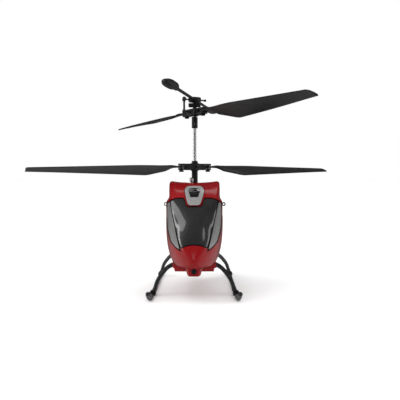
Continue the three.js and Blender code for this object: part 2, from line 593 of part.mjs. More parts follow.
function canopyFittings() {
  add(airframe, 'canopy_pin_right', canopyPin(1), BLACK, 0.4);
  add(airframe, 'canopy_pin_left', canopyPin(-1), PIN_GREY, 0.3, 0.8);
  const chin = mapped(new THREE.BoxGeometry(1, 1, 1, 6, 4, 2), (point) => {
    const z = lerp(BELLY_Z - 0.2, SPLIT_Z - GAP / 2, point.z + 0.5);
    const half = lerp(3.4, 4.4, point.z + 0.5);
    const y = lerp(CHIN_FRONT, PAN_FRONT - GAP, point.y + 0.5);
    const round = point.y < -0.4 ? 1.6 * (2 * point.x) ** 2 : 0;
    const arc = point.z < -0.4 ? 0.5 * (2 * point.x) ** 2 : 0;
    point.set(2 * half * point.x, y + round, z + arc);
  });
  const lensHole = rod(1.25, -2, 1.2, 16).rotateX(-Math.PI / 2).translate(0, CHIN_FRONT, LENS_Z);
  add(airframe, 'chin_housing', cut(chin, lensHole), AIRFRAME_RED, 0.25);
  const lens = turned([[0, -1], [1.15, -1], [1.15, 0.1], [0.8, 0.35], [0, 0.5]], 16);
  add(airframe, 'nose_lens', lens.rotateX(Math.PI / 2).translate(0, CHIN_FRONT, LENS_Z), GLASS, 0.1);

  const floor = BELLY_Z + 1.1;
  const pan = mapped(new THREE.BoxGeometry(1, 1, 1), (point) => {
    const half = point.z > 0 ? 11.1 : 10.2;
    const z = lerp(BELLY_Z, SPLIT_Z - GAP / 2, point.z + 0.5);
    point.set(2 * half * point.x, lerp(PAN_FRONT, PAN_REAR, point.y + 0.5), z);
  });
  const hollow = block([-9.3, PAN_FRONT + 1.2, floor], [9.3, PAN_REAR - 1.2, SPLIT_Z + 2]);
  const foot = ring(INNER_SHAFT_R + RUN, 2.4, floor - 0.2, floor + 1.9, 16);
  const footBore = rod(INNER_SHAFT_R + RUN, floor + 0.05, floor + 3, 16);
  const tray = join(cut(pan, hollow), foot);
  const switchSlot = block([2.6, 12, BELLY_Z - 1], [5.4, 19, floor + 0.5]);
  const socketHole = rod(1.7, BELLY_Z - 1, floor + 0.5, 16, ...SOCKET);
  add(airframe, 'belly_pan', cut(tray, footBore, switchSlot, socketHole), AIRFRAME_RED, 0.25);
  add(airframe, 'charge_socket', ring(0.6, 1.6, BELLY_Z, floor + 2.2, 14).translate(...SOCKET, 0), BLACK);
  const knob = join(
    block([2.85, 12.4, BELLY_Z - 0.9], [5.15, 15.2, floor + 0.5]),
    block([2, 12.4, floor + 0.3], [6, 15.2, floor + 1.1]),
  );
  add(airframe, 'power_switch', knob, BLACK);
}

canopy();
canopyFittings();

// ---------------------------------------------------------------- frame, drive and electronics
function frame() {
  const outline = [[-19, DECK_Z], [16, DECK_Z], [30, 37], [30, 48], [24, 50], [8, 54], [-8, 54], [-19, 47]];
  const holes = [
    { x: -12, y: 40, r: 3.4 }, { x: 11, y: 40, r: 3.4 }, { x: -12, y: 31.5, r: 1.6 },
    { x: 21, y: 38, r: 1.8 }, { x: -1, y: 34, r: 2 }, { x: 5, y: 34, r: 2 },
  ];
  for (const [name, side] of [['left', -1], ['right', 1]]) {
    const sheet = standing(plate(outline, side > 0 ? PLATE_X : -PLATE_X - PLATE_THICK, PLATE_THICK, holes));
    const pinHole = rod(PIN_R + RUN, 5, 9, 12).rotateY(side * Math.PI / 2).translate(0, PIN_Y, PIN_Z);
    add(airframe, `frame_plate_${name}`, cut(sheet, pinHole), PLATE_GREY, 0.4, 0.7);
  }
  const width = PLATE_X - 0.1;
  const tower = join(block([-width, -7, 50], [width, 7, 54]), rod(3.5, 53.5, 58.5, 24));
  add(airframe, 'mast_bracket', cut(tower, rod(2.6, 54.6, 59, 16), rod(2.1, 49, 55, 16)), BLACK, 0.45);
  add(airframe, 'upper_bearing', ring(OUTER_SHAFT_R + RUN, 2.55, 54.7, 58.3, 16), STEEL, 0.3, 0.9);
  const deck = block([-width, -17, DECK_Z], [width, 17.5, DECK_Z + DECK_THICK]);
  const bossR = 3.2;
  const boss = ring(OUTER_SHAFT_R + RUN, bossR, DECK_Z + 0.2, DECK_Z + 4, 16);
  const motorHoles = [1, -1].map((side) => rod(2.6, DECK_Z - 1, 40, 16, 0, side * MOTOR_Y));
  const whole = join(cut(deck, rod(bossR - 0.2, DECK_Z - 1, 40, 16)), boss);
  add(airframe, 'lower_deck', cut(whole, ...motorHoles), BLACK, 0.45);
  const along = (geometry) => geometry.rotateX(-Math.PI / 2);
  const boomBore = along(rod(BOOM_R + RUN, 0, 200, 16)).translate(0, 0, BOOM_Z);
  const clamp = block([-width, 20, BOOM_Z - 3.6], [width, 29, BOOM_Z + 3.6]);
  add(airframe, 'boom_clamp', cut(clamp, boomBore), BLACK, 0.45);
  const screw = turned([
    [0, 54.2], [1.05, 54.2], [1.05, 58.4], [0.6, 58.4], [0.6, 60.3],
    [1.15, 60.3], [1.15, 62.3], [0.8, 62.7], [0, 62.7],
  ], 16);
  add(airframe, 'bracket_screw', screw.translate(-1.7, -5.4, 0), STEEL, 0.25, 1);
}

function drive() {
  const makePinion = (name, side, gearZ, phase) => {
    const teeth = gear(PINION_TEETH, 0.45, gearZ - 0.3, GEAR_THICK + 0.6, phase);
    const pinion = join(teeth, rod(0.5, gearZ - 0.6, MOTOR_Z + 0.8, 12));
    add(airframe, name, pinion.translate(0, side * MOTOR_Y, 0), BRASS, 0.35, 0.9);
  };
  // A pinion's tooth gap faces the big gear's tooth on the line between the two axes.
  const halfStep = Math.PI / PINION_TEETH;
  makePinion('front_pinion', -1, OUTER_GEAR_Z, Math.PI / 2 + halfStep);
  makePinion('rear_pinion', 1, INNER_GEAR_Z, -Math.PI / 2 + halfStep);
  const top = MOTOR_Z + MOTOR_LENGTH;
  const profile = [
    [0.55, MOTOR_Z], [1.5, MOTOR_Z - 0.5], [1.7, MOTOR_Z], [MOTOR_R, MOTOR_Z + 0.2], [MOTOR_R, top],
    [3, top + 0.6], [0, top + 0.6], [0, MOTOR_Z + 1], [0.55, MOTOR_Z + 1], [0.55, MOTOR_Z],
  ];
  for (const [name, side] of [['front', -1], ['rear', 1]]) {
    add(airframe, `drive_motor_${name}`, turned(profile, 16).translate(0, side * MOTOR_Y, 0), STEEL, 0.3, 1);
  }
  add(airframe, 'battery', block([-6.4, -37, SPLIT_Z + 1.8], [6.4, -15.5, SPLIT_Z + 8]), WRAP_BLUE, 0.4);
  const board = join(
    block([-7.8, -38, 30.5], [7.8, -19.6, 31.5]),
    block([-3.5, -32, 31.4], [3.5, -25, 32.8]),
    block([-6.8, -24, 31.4], [-2.8, -21, 33]),
    block([2.5, -37, 31.4], [6, -34.6, 33]),
  );
  add(airframe, 'circuit_board', board, BOARD_GREEN, 0.5);
}

// ---------------------------------------------------------------- tail
function tail() {
  const along = (geometry) => geometry.rotateX(-Math.PI / 2).translate(0, 0, BOOM_Z);
  add(airframe, 'tail_boom', along(ring(1.3, BOOM_R, BOOM_START, BOOM_END, 16)), BOLT_GREY, 0.35, 0.6);
  for (const [name, side] of [['left', -1], ['right', 1]]) {
    const start = [side * 8.5, 17.5, 31.2];
    const strut = tube([start, [side * 4.2, 88, BOOM_Z - 1.45]], BOOM_STRUT_R, 1, 8);
    const anchor = new THREE.CylinderGeometry(0.85, 0.85, 2, 12).rotateZ(Math.PI / 2)
      .translate(start[0] - side * 0.15, start[1], start[2]);
    add(airframe, `boom_strut_${name}`, join(strut, anchor), BLACK, 0.3);
  }
  const thick = 1.2;
  const upright = standing(plate([
    [92, BOOM_Z - 2], [104, 27], [112, 25.5], [115, 27], [108, BOOM_Z], [119, 54.5], [117, 56], [110, 55.5],
    [98, BOOM_Z + 2],
  ], -thick / 2, thick));
  const level = plate([
    [0, 84], [17, 92], [18.5, 94.5], [18, 99], [16.5, 100], [5, 97],
    [-5, 97], [-16.5, 100], [-18, 99], [-18.5, 94.5], [-17, 92],
  ], BOOM_Z - thick / 2, thick);
  const collar = along(rod(BOOM_R + 0.9, 86, 112, 16));
  const boomBore = along(rod(BOOM_R + RUN, 0, 200, 16));
  add(airframe, 'tail_fin', cut(join(upright, level, collar), boomBore), AIRFRAME_RED, 0.25);
  const holder = join(
    rod(4.3, BOOM_Z - 3.4, BOOM_Z + 3.4, 20, 0, TAIL_ROTOR_Y),
    block([-2.7, 122, BOOM_Z - 2.7], [2.7, TAIL_ROTOR_Y - 2, BOOM_Z + 2.7]),
  );
  const motorBore = rod(TAIL_MOTOR_R + RUN, 0, 80, 20, 0, TAIL_ROTOR_Y);
  const boomSocket = along(rod(BOOM_R + RUN, 100, BOOM_END + 0.2, 16));
  add(airframe, 'tail_motor_mount', cut(holder, motorBore, boomSocket), BLACK, 0.4);
  const motor = turned([
    [0, 36], [TAIL_MOTOR_R, 36.3], [TAIL_MOTOR_R, 46.9], [1.4, 47.2],
    [1.2, 47.7], [0.5, 47.7], [0.5, 46], [0, 46],
  ], 16);
  add(airframe, 'tail_motor', motor.translate(0, TAIL_ROTOR_Y, 0), STEEL, 0.3, 1);
  const propeller = (angle) => mapped(new THREE.BoxGeometry(1, 1, 1, 8, 2, 1), (point) => {
    const share = point.x + 0.5;
    const half = lerp(1, 2, smooth(share, 0.1, 0.5)) * (share > 0.9 ? 0.72 : 1);
    const pitch = deg(lerp(24, 10, share));
    const reach = lerp(0.8, TAIL_ROTOR_R, share);
    const across = 2 * half * point.y;
    point.set(reach, across * Math.cos(pitch), TAIL_ROTOR_Z + 0.6 * point.z - across * Math.sin(pitch));
  }).rotateZ(angle);
  const hub = turned([
    [0, 46.3], [0.42, 46.3], [0.42, 48.2], [1.6, 48.2], [1.6, 49.8], [1.1, 50.5], [0, 50.5],
  ], 14);
  const restAngle = deg(35);
  const rotor = join(hub, propeller(restAngle), propeller(restAngle + Math.PI));
  add(airframe, 'tail_rotor', rotor.translate(0, TAIL_ROTOR_Y, 0), BLACK, 0.35);
}

// ---------------------------------------------------------------- landing gear
function landingGear() {
  for (const [name, side] of [['left', -1], ['right', 1]]) {
    const flat = SKID_R - 0.12;
    const runner = tube([
      [side * (SKID_X + 1.1), SKID_FRONT - 5, flat + 3.2],
      [side * (SKID_X + 0.6), SKID_FRONT - 4.2, flat + 1.3],
      [side * (SKID_X + 0.1), SKID_FRONT - 1.8, flat + 0.15],
      [side * SKID_X, SKID_FRONT + 1, flat],
      [side * SKID_X, SKID_FRONT + 8, flat],
      [side * (SKID_X - 0.3), 0, flat],
      [side * (SKID_X - 0.6), 28, flat],
      [side * (SKID_X - 0.6), SKID_BACK - 4, flat + 0.4],
      [side * (SKID_X - 0.6), SKID_BACK, flat + 1.3],
    ], SKID_R, 24, 8);
    add(airframe, `skid_${name}`, cut(runner, block([-40, -80, -5], [40, 80, 0])), BLACK, 0.3);
    for (const [end, top, foot] of [['front', -22, -24], ['rear', 21, 35]]) {
      const back = (share) => lerp(top, foot, share);
      const strut = tube([
        [side * 11.5, top, 16.2], [side * 14.6, back(0.25), 14.3], [side * 17.7, back(0.55), 10.9],
        [side * 19.9, back(0.8), 7.2], [side * 21.2, foot, 2 * flat + SKID_R],
      ], STRUT_R, 12, 8);
      add(airframe, `strut_${end}_${name}`, strut, BLACK, 0.3);
    }
  }
}

frame();
drive();
tail();
landingGear();

export default helicopter;
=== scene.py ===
"""Looks of the coaxial remote control helicopter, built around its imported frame.

The mast stands at x = 0. Lengths below are millimetres, with y counted backwards from the mast and z up from
the ground, and `metres` takes them to the row frame.
"""
import json
import math

import bmesh
import bpy
import numpy as np
from mathutils import Matrix, Vector


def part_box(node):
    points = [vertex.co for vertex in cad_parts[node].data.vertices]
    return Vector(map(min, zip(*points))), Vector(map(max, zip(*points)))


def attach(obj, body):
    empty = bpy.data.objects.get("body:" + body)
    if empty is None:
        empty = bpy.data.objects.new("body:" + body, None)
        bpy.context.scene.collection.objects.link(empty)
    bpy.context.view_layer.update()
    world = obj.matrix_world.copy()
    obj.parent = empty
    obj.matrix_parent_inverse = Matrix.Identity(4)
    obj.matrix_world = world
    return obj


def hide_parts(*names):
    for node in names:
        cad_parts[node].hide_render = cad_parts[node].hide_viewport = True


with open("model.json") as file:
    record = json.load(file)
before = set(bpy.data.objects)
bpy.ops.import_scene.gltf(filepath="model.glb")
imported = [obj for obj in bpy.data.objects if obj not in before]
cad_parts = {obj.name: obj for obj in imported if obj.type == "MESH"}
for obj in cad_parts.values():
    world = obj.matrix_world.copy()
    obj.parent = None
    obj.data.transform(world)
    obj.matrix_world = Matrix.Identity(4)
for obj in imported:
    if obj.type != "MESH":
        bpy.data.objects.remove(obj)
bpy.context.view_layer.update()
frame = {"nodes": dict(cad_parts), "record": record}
nodes = frame["nodes"]

MM = 0.001


def middle(node):
    low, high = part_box(node)
    return (low + high) / 2 / MM


MAST_Y = middle("outer_shaft").y
LOWER_Z = 68.6
UPPER_Z = LOWER_Z + 30.9
FLYBAR_Z = LOWER_Z + 37.9
LOWER_AZIMUTH = 28.5
UPPER_AZIMUTH = -57.2
FLYBAR_AZIMUTH = -100.5
UPPER_TILT = 1.2
ROTOR_RADIUS = 95.0
TAU = 2 * math.pi


def lerp(a, b, t):
    return a + (b - a) * t


def smooth(x, low, high):
    t = min(1.0, max(0.0, (x - low) / (high - low)))
    return t * t * (3 - 2 * t)


def metres(azimuth=0.0, height=0.0, tilt=0.0):
    """The matrix from a mast-centred frame in millimetres, turned and lifted, to the row frame."""
    move = Matrix.Translation(Vector((0, MAST_Y, height)) * MM)
    turn = Matrix.Rotation(math.radians(azimuth), 4, "Z") @ Matrix.Rotation(-math.radians(tilt), 4, "Y")
    return move @ turn @ Matrix.Scale(MM, 4)


# ---------------------------------------------------------------- mesh tools
def raw(verts, faces, name="raw"):
    """An object from vertices and faces, in the builder's millimetres, with its faces turned outwards."""
    mesh = bpy.data.meshes.new(name)
    mesh.from_pydata([tuple(v) for v in verts], [], faces)
    made = bmesh.new()
    made.from_mesh(mesh)
    bmesh.ops.remove_doubles(made, verts=made.verts, dist=1e-5)
    bmesh.ops.recalc_face_normals(made, faces=made.faces)
    made.to_mesh(mesh)
    made.free()
    obj = bpy.data.objects.new(name, mesh)
    bpy.context.scene.collection.objects.link(obj)
    return obj


def baked(obj):
    """Applies the object's modifiers to its mesh."""
    seen = obj.evaluated_get(bpy.context.evaluated_depsgraph_get())
    mesh = bpy.data.meshes.new_from_object(seen)
    obj.modifiers.clear()
    obj.data = mesh
    return obj


def copied(obj):
    made = obj.copy()
    made.data = obj.data.copy()
    bpy.context.scene.collection.objects.link(made)
    return made


def combined(obj, operation, *tools):
    """Cuts or joins whole solids, and deletes the tools."""
    for tool in tools:
        step = obj.modifiers.new("combine", "BOOLEAN")
        step.operation = operation
        step.solver = "MANIFOLD"
        step.object = tool
        baked(obj)
        bpy.data.objects.remove(tool)
    return obj


def cut(obj, *tools):
    return combined(obj, "DIFFERENCE", *tools)


def join(obj, *tools):
    return combined(obj, "UNION", *tools)


def common(obj, *tools):
    return combined(obj, "INTERSECT", *tools)


def softened(obj, width, segments=3, angle=32):
    """Rounds the object's hard edges by a width in millimetres."""
    step = obj.modifiers.new("soften", "BEVEL")
    step.width = width
    step.segments = segments
    step.limit_method = "ANGLE"
    step.angle_limit = math.radians(angle)
    step.use_clamp_overlap = True
    return baked(obj)


def grid_faces(rows, columns, closed=True):
    """Quads between rows of points; closed joins each row's last column to its first."""
    faces = []
    for i in range(rows - 1):
        for j in range(columns if closed else columns - 1):
            k = (j + 1) % columns
            faces.append((i * columns + j, i * columns + k, (i + 1) * columns + k, (i + 1) * columns + j))
    return faces


def circle(count):
    """The cosine and sine of evenly spaced angles."""
    return [(math.cos(i / count * TAU), math.sin(i / count * TAU)) for i in range(count)]


def fuller(value, power):
    """A cosine or sine raised to a power below 1, which squares up the round that it draws."""
    return math.copysign(abs(value) ** power, value)


def loft(rings, capped=True):
    """A closed body through rings of points that all have the same count."""
    count = len(rings[0])
    faces = grid_faces(len(rings), count)
    if capped:
        faces.append(tuple(reversed(range(count))))
        faces.append(tuple(range((len(rings) - 1) * count, len(rings) * count)))
    return raw([p for ring in rings for p in ring], faces)


def turned(profile, segments=48):
    """A solid of revolution about Z through [radius, height] points, closed on the axis or on themselves."""
    rings = [[(r * c, r * s, z) for c, s in circle(segments)] for r, z in profile]
    return loft(rings, capped=False)


def bend(before, corner, after, radius, steps):
    """Points on an arc of about a radius that takes the place of a corner."""
    back = before - corner
    on = after - corner
    reach = min(radius, back.length * 0.45, on.length * 0.45)
    start = corner + back.normalized() * reach
    end = corner + on.normalized() * reach
    shares = [i / steps for i in range(steps + 1)]
    return [start * (1 - t) ** 2 + corner * 2 * t * (1 - t) + end * t ** 2 for t in shares]


def rounded(profile, radius, steps=4):
    """A profile with each of its inner corners rounded."""
    points = [Vector(p) for p in profile]
    made = [points[0]]
    for before, corner, after in zip(points, points[1:], points[2:]):
        made += bend(before, corner, after, radius, steps)
    made.append(points[-1])
    return [(max(0.0, p.x), p.y) for p in made]


def lathe(profile, radius, segments):
    """A solid of revolution whose profile has its corners rounded."""
    return turned(rounded(profile, radius), segments)


def rod(radius, low, high, x=0.0, y=0.0, segments=40, edge=0.12):
    """An upright cylinder with a small round on both rims."""
    made = lathe([(0, low), (radius, low), (radius, high), (0, high)], edge, segments)
    return shifted(made, (x, y, 0))


def tubing(inner, outer, low, high, segments=48, edge=0.1):
    """An upright tube with rounded rims."""
    loop = [(inner, low), (outer, low), (outer, high), (inner, high)]
    profile = rounded([loop[-1]] + loop + [loop[0]], edge, 3)[1:-1]
    return turned(profile + [profile[0]], segments)


def moved(obj, matrix):
    obj.data.transform(matrix)
    return obj


def turn(obj, degrees, axis):
    return moved(obj, Matrix.Rotation(math.radians(degrees), 4, axis))


def shifted(obj, place):
    return moved(obj, Matrix.Translation(place))


def spot(x, y, z, degrees=0.0, axis="Z"):
    """A place in the mast-centred frame, turned about an axis, as a matrix to the row frame."""
    return metres() @ Matrix.Translation((x, y, z)) @ Matrix.Rotation(math.radians(degrees), 4, axis)


def outward(side):
    """The turn about Z that takes a piece made for the right side to a side, 1 or -1."""
    return 0 if side > 0 else 180


def block(low, high):
    """A box by its lowest and highest corners, as a start for cuts and rounding."""
    corners = [(x, y, z) for z in (low[2], high[2]) for y in (low[1], high[1]) for x in (low[0], high[0])]
    return raw(corners, [(0, 2, 3, 1), (4, 5, 7, 6), (0, 1, 5, 4), (1, 3, 7, 5), (3, 2, 6, 7), (2, 0, 4, 6)])


def slab(low, high, width, segments=3):
    """A box with rounded edges."""
    return softened(block(low, high), width, segments)


def plate(points, low, high, holes=()):
    """An outline in X-Y with round holes (x, y, r), thickened between two heights."""
    count = len(points)
    verts = [(x, y, low) for x, y in points] + [(x, y, high) for x, y in points]
    faces = [tuple(reversed(range(count))), tuple(range(count, 2 * count))]
    faces += [(i, (i + 1) % count, count + (i + 1) % count, count + i) for i in range(count)]
    made = raw(verts, faces)
    for x, y, r in holes:
        cut(made, plain_rod(r, low - 1, high + 1, x, y))
    return made


def plain_rod(radius, low, high, x=0.0, y=0.0, segments=32):
    """A sharp cylinder, used to cut holes."""
    return loft([[(x + radius * c, y + radius * s, z) for c, s in circle(segments)] for z in (low, high)])


def curve_points(points, steps):
    """Points along a smooth curve through given points, evenly spaced by its own parameter."""
    pts = [Vector(p) for p in points]
    pts = [2 * pts[0] - pts[1]] + pts + [2 * pts[-1] - pts[-2]]
    made = []
    spans = len(pts) - 3
    for step in range(steps + 1):
        place = min(step / steps * spans, spans - 1e-9)
        i = int(place)
        t = place - i
        a, b, c, d = pts[i:i + 4]
        made.append(0.5 * ((2 * b) + (c - a) * t + (2 * a - 5 * b + 4 * c - d) * t ** 2
                           + (3 * b - a - 3 * c + d) * t ** 3))
    return made


def swept(path, section, around=20):
    """A tube along points. section(share, angle) gives the radius there; both ends are closed by domes."""
    made = []
    side = None
    for i, point in enumerate(path):
        ahead = (path[min(i + 1, len(path) - 1)] - path[max(i - 1, 0)]).normalized()
        if side is None:
            side = ahead.orthogonal().normalized()
        side = (side - ahead * side.dot(ahead)).normalized()
        up = ahead.cross(side)
        share = i / (len(path) - 1)
        made.append([
            point + section(share, j / around * TAU) * (math.cos(j / around * TAU) * side
            + math.sin(j / around * TAU) * up) for j in range(around)])
    return loft(made)


def finished(obj, name, slot, *replaced, at=None, body=None, look=None, sharp=35):
    """Puts a piece in the row frame, names it, shades it and hands it to its body.

    The body is that of the CAD node it replaces, or else the airframe, and the look is its slot's own.
    """
    obj.data.transform(at or metres())
    obj.name = name
    obj.data.name = name
    obj.data.shade_smooth()
    obj.data.set_sharp_from_angle(angle=math.radians(sharp))
    obj.data.materials.clear()
    obj.data.materials.append(LOOKS[look or slot])
    body = body or (BODY_OF[replaced[0]] if replaced else "airframe")
    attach(obj, body)
    if replaced:
        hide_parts(*replaced)
    return obj


# ---------------------------------------------------------------- materials
TOWS = 1200                      # tows of the windscreen's twill per metre, across and up
TOWS_UP = 1000


class Nodes:
    """A short hand for building nodes: a material's round its Principled shader, or a world's."""

    def __init__(self, name, world=None):
        self.material = world or bpy.data.materials.new(name)
        self.material.use_nodes = True
        self.tree = self.material.node_tree
        self.shader = self.tree.nodes.get("Principled BSDF")
        self.place = self.new("ShaderNodeTexCoord").outputs["Generated" if world else "Object"]

    def new(self, kind, **values):
        made = self.tree.nodes.new(kind)
        for key, value in values.items():
            setattr(made, key, value)
        return made

    def wire(self, source, target):
        self.tree.links.new(source, target)
        return target

    def feed(self, socket, value):
        """Sets a socket to a number, a colour or another node's output."""
        if isinstance(value, bpy.types.NodeSocket):
            self.wire(value, socket)
        else:
            socket.default_value = value

    def noise(self, scale, detail=3.0, roughness=0.5, distortion=0.0, at=None):
        made = self.new("ShaderNodeTexNoise")
        self.wire(at or self.place, made.inputs["Vector"])
        made.inputs["Scale"].default_value = scale
        made.inputs["Detail"].default_value = detail
        made.inputs["Roughness"].default_value = roughness
        made.inputs["Distortion"].default_value = distortion
        return made.outputs["Fac"]

    def math(self, operation, *values):
        made = self.new("ShaderNodeMath", operation=operation)
        for socket, value in zip(made.inputs, values):
            self.feed(socket, value)
        return made.outputs[0]

    def remap(self, value, low, high, to_low, to_high):
        made = self.new("ShaderNodeMapRange", clamp=True)
        for socket, number in zip(made.inputs, (value, low, high, to_low, to_high)):
            self.feed(socket, number)
        return made.outputs[0]

    def blend(self, amount, first, second):
        made = self.new("ShaderNodeMix", data_type="RGBA")
        self.feed(made.inputs["Factor"], amount)
        self.feed(made.inputs["A"], first)
        self.feed(made.inputs["B"], second)
        return made.outputs["Result"]

    def stretched(self, scale, turn=(0.0, 0.0, 0.0)):
        made = self.new("ShaderNodeMapping")
        self.wire(self.place, made.inputs["Vector"])
        made.inputs["Scale"].default_value = scale
        made.inputs["Rotation"].default_value = [math.radians(angle) for angle in turn]
        return made.outputs["Vector"]

    def axes(self, vector=None):
        made = self.new("ShaderNodeSeparateXYZ")
        self.wire(vector or self.place, made.inputs["Vector"])
        return made.outputs

    def bump(self, height, strength, distance, under=None):
        made = self.new("ShaderNodeBump")
        made.inputs["Strength"].default_value = strength
        made.inputs["Distance"].default_value = distance * MM
        self.wire(height, made.inputs["Height"])
        if under is not None:
            self.wire(under, made.inputs["Normal"])
        return made.outputs["Normal"]

    def edges(self, size=0.25, low=0.02, high=0.25):
        """How much a place lies on an outward edge, from 0 to 1, by the bevel node's bent normal."""
        bevel = self.new("ShaderNodeBevel", samples=4)
        bevel.inputs["Radius"].default_value = size * MM
        flat = self.new("ShaderNodeNewGeometry").outputs["Normal"]
        dot = self.new("ShaderNodeVectorMath", operation="DOT_PRODUCT")
        self.wire(bevel.outputs[0], dot.inputs[0])
        self.wire(flat, dot.inputs[1])
        return self.remap(self.math("SUBTRACT", 1.0, dot.outputs["Value"]), low, high, 0.0, 1.0)

    def set(self, **values):
        for key, value in values.items():
            self.feed(self.shader.inputs[key.replace("_", " ")], value)
        return self


def grey(value, warm=0.0):
    return (value * (1 + warm), value, value * (1 - warm), 1.0)


def red_paint():
    """Glossy dark red moulding: colour drifts a little, a fine orange peel, dust in its roughness."""
    n = Nodes("red gloss shell")
    drift = n.noise(70, 4)
    tone = n.blend(n.remap(drift, 0.35, 0.65, 0.0, 1.0), (0.195, 0.0012, 0.0028, 1), (0.232, 0.002, 0.004, 1))
    fleck = n.remap(n.noise(5200, 2), 0.62, 0.76, 0.0, 1.0)
    n.set(
        Base_Color=n.blend(fleck, tone, (0.3, 0.008, 0.012, 1)), Coat_Weight=0.3, Coat_Roughness=0.06,
        Coat_IOR=1.5)
    n.set(Roughness=n.remap(n.noise(420, 5, 0.6), 0.3, 0.7, 0.16, 0.27), IOR=1.4)
    peel = n.bump(n.noise(900, 2), 0.05, 0.05)
    n.set(Normal=peel)
    n.wire(n.bump(n.noise(260, 2), 0.05, 0.08), n.shader.inputs["Coat Normal"])
    return n.material


def carbon_panel():
    """A glossy printed film of a twill: slanted rows of checks that catch the light in turn."""
    n = Nodes("carbon film")
    x, _, z = n.axes(n.stretched((TOWS, TOWS, TOWS_UP)))[:3]
    step = n.math("MODULO", n.math("ADD", n.math("FLOOR", x), n.math("FLOOR", z)), 2.0)
    on_top = n.math("GREATER_THAN", n.math("ABSOLUTE", step), 0.5)
    ridges = [n.math("ABSOLUTE", n.math("SUBTRACT", n.math("FRACT", along), 0.5)) for along in (x, z)]
    crown = n.blend(on_top, *ridges)
    shade = n.remap(crown, 0.12, 0.5, 1.0, 0.3)
    thread = n.noise(1, 1, at=n.stretched((9000, 900, 2600), (0, 45, 0)))
    fibre = n.math("MULTIPLY", shade, n.remap(thread, 0.3, 0.7, 0.75, 1.1))
    light = n.math("MULTIPLY", n.remap(on_top, 0.0, 1.0, 0.22, 1.0), fibre)
    n.set(Base_Color=n.blend(light, grey(0.001), grey(0.022)), Roughness=n.remap(light, 0, 1, 0.4, 0.28))
    n.set(Coat_Weight=1.0, Coat_Roughness=0.045, Coat_IOR=1.55, Normal=n.bump(shade, 0.2, 0.05))
    n.wire(n.bump(n.noise(240, 2), 0.04, 0.08), n.shader.inputs["Coat Normal"])
    return n.material


def smoke_panel():
    """Silver-grey side window film under a clear gloss, with a faint brushed streak."""
    n = Nodes("grey window film")
    streak = n.noise(1, 4, at=n.stretched((900, 220, 5200)))
    drift = n.noise(55, 2)
    body = n.blend(n.remap(drift, 0.35, 0.65, 0, 1), grey(0.16, 0.02), grey(0.23, 0.02))
    n.set(Base_Color=n.blend(n.remap(streak, 0.35, 0.65, 0.0, 0.35), body, grey(0.32)))
    n.set(Metallic=0.55, Roughness=n.remap(streak, 0.3, 0.7, 0.26, 0.38))
    n.set(Coat_Weight=1.0, Coat_Roughness=0.06, Normal=n.bump(streak, 0.06, 0.03))
    return n.material


def bright_trim():
    """Vacuum-plated plastic: a soft mirror with tiny waves and hazy rubbed edges."""
    n = Nodes("bright trim")
    haze = n.noise(640, 5, 0.6)
    worn = n.edges(0.3)
    n.set(
        Base_Color=n.blend(n.remap(haze, 0.35, 0.7, 0, 1), grey(0.62, 0.01), grey(0.54, 0.01)),
        Metallic=0.75)
    n.set(Roughness=n.math("ADD", n.remap(haze, 0.3, 0.7, 0.28, 0.38), n.math("MULTIPLY", worn, 0.1)))
    n.set(Normal=n.bump(n.noise(700, 2), 0.08, 0.05))
    return n.material


def moulded(name, value, rough, grain=2600, coat=0.0, lift=0.3, warm=0.0, depth=0.012):
    """Moulded plastic: a fine spark-eroded grain, slight flow tone and edges rubbed a little brighter."""
    n = Nodes(name)
    flow = n.remap(n.noise(95, 4), 0.3, 0.7, 0.0, 1.0)
    body = n.blend(flow, grey(value * 0.85, warm), grey(value * 1.25, warm))
    n.set(Base_Color=n.blend(n.math("MULTIPLY", n.edges(), lift), body, grey(value * 2.5 + 0.012, warm)))
    n.set(Roughness=n.remap(n.noise(520, 4, 0.6), 0.3, 0.7, rough - 0.03, rough + 0.05), IOR=1.45)
    n.set(Coat_Weight=coat, Coat_Roughness=0.12, Normal=n.bump(n.noise(grain, 2), 0.1, depth))
    return n.material


def metal(name, colour, rough, spin=False, streaks=5200, dirt=0.0):
    """Machined metal: fine turning or drawing lines, uneven polish, and darker grime where asked."""
    n = Nodes(name)
    lines = n.noise(1, 3, at=n.stretched((500, 500, streaks) if spin else (streaks, 420, 420)))
    patch = n.noise(160, 5, 0.65)
    darker = tuple(channel * (0.62 - dirt) for channel in colour[:3]) + (1.0,)
    n.set(Base_Color=n.blend(n.remap(patch, 0.35, 0.75, 0.0, 0.3 + dirt), colour, darker), Metallic=1.0)
    n.set(Roughness=n.math("ADD", n.remap(lines, 0.25, 0.75, rough - 0.03, rough + 0.04),
                           n.remap(patch, 0.4, 0.8, 0.0, 0.04)))
    n.set(Normal=n.bump(lines, 0.012, 0.002))
    return n.material


def blade_plastic():
    """Thin glass-filled blade plastic: satin black with short flow streaks along the span."""
    n = Nodes("blade plastic")
    flow = n.noise(1, 4, at=n.stretched((240, 240, 900)))
    fine = n.noise(3600, 3)
    n.set(Base_Color=n.blend(n.remap(flow, 0.35, 0.65, 0, 1), grey(0.004), grey(0.008)))
    n.set(
        Roughness=n.remap(n.math("ADD", flow, n.math("MULTIPLY", fine, 0.3)), 0.4, 0.9, 0.3, 0.42),
        IOR=1.45)
    n.set(Normal=n.bump(fine, 0.1, 0.01, under=n.bump(flow, 0.05, 0.04)))
    return n.material


def gear_nylon():
    n = Nodes("gear nylon")
    cloud = n.noise(180, 4)
    n.set(Base_Color=n.blend(n.remap(cloud, 0.3, 0.7, 0, 1), (0.62, 0.6, 0.53, 1), (0.72, 0.7, 0.64, 1)))
    n.set(
        Roughness=n.remap(n.noise(700, 4), 0.3, 0.7, 0.36, 0.52), Subsurface_Weight=0.25,
        Subsurface_Scale=0.0008)
    n.shader.inputs["Subsurface Radius"].default_value = (1.0, 0.9, 0.7)
    n.set(Normal=n.bump(n.noise(2400, 2), 0.15, 0.02))
    return n.material


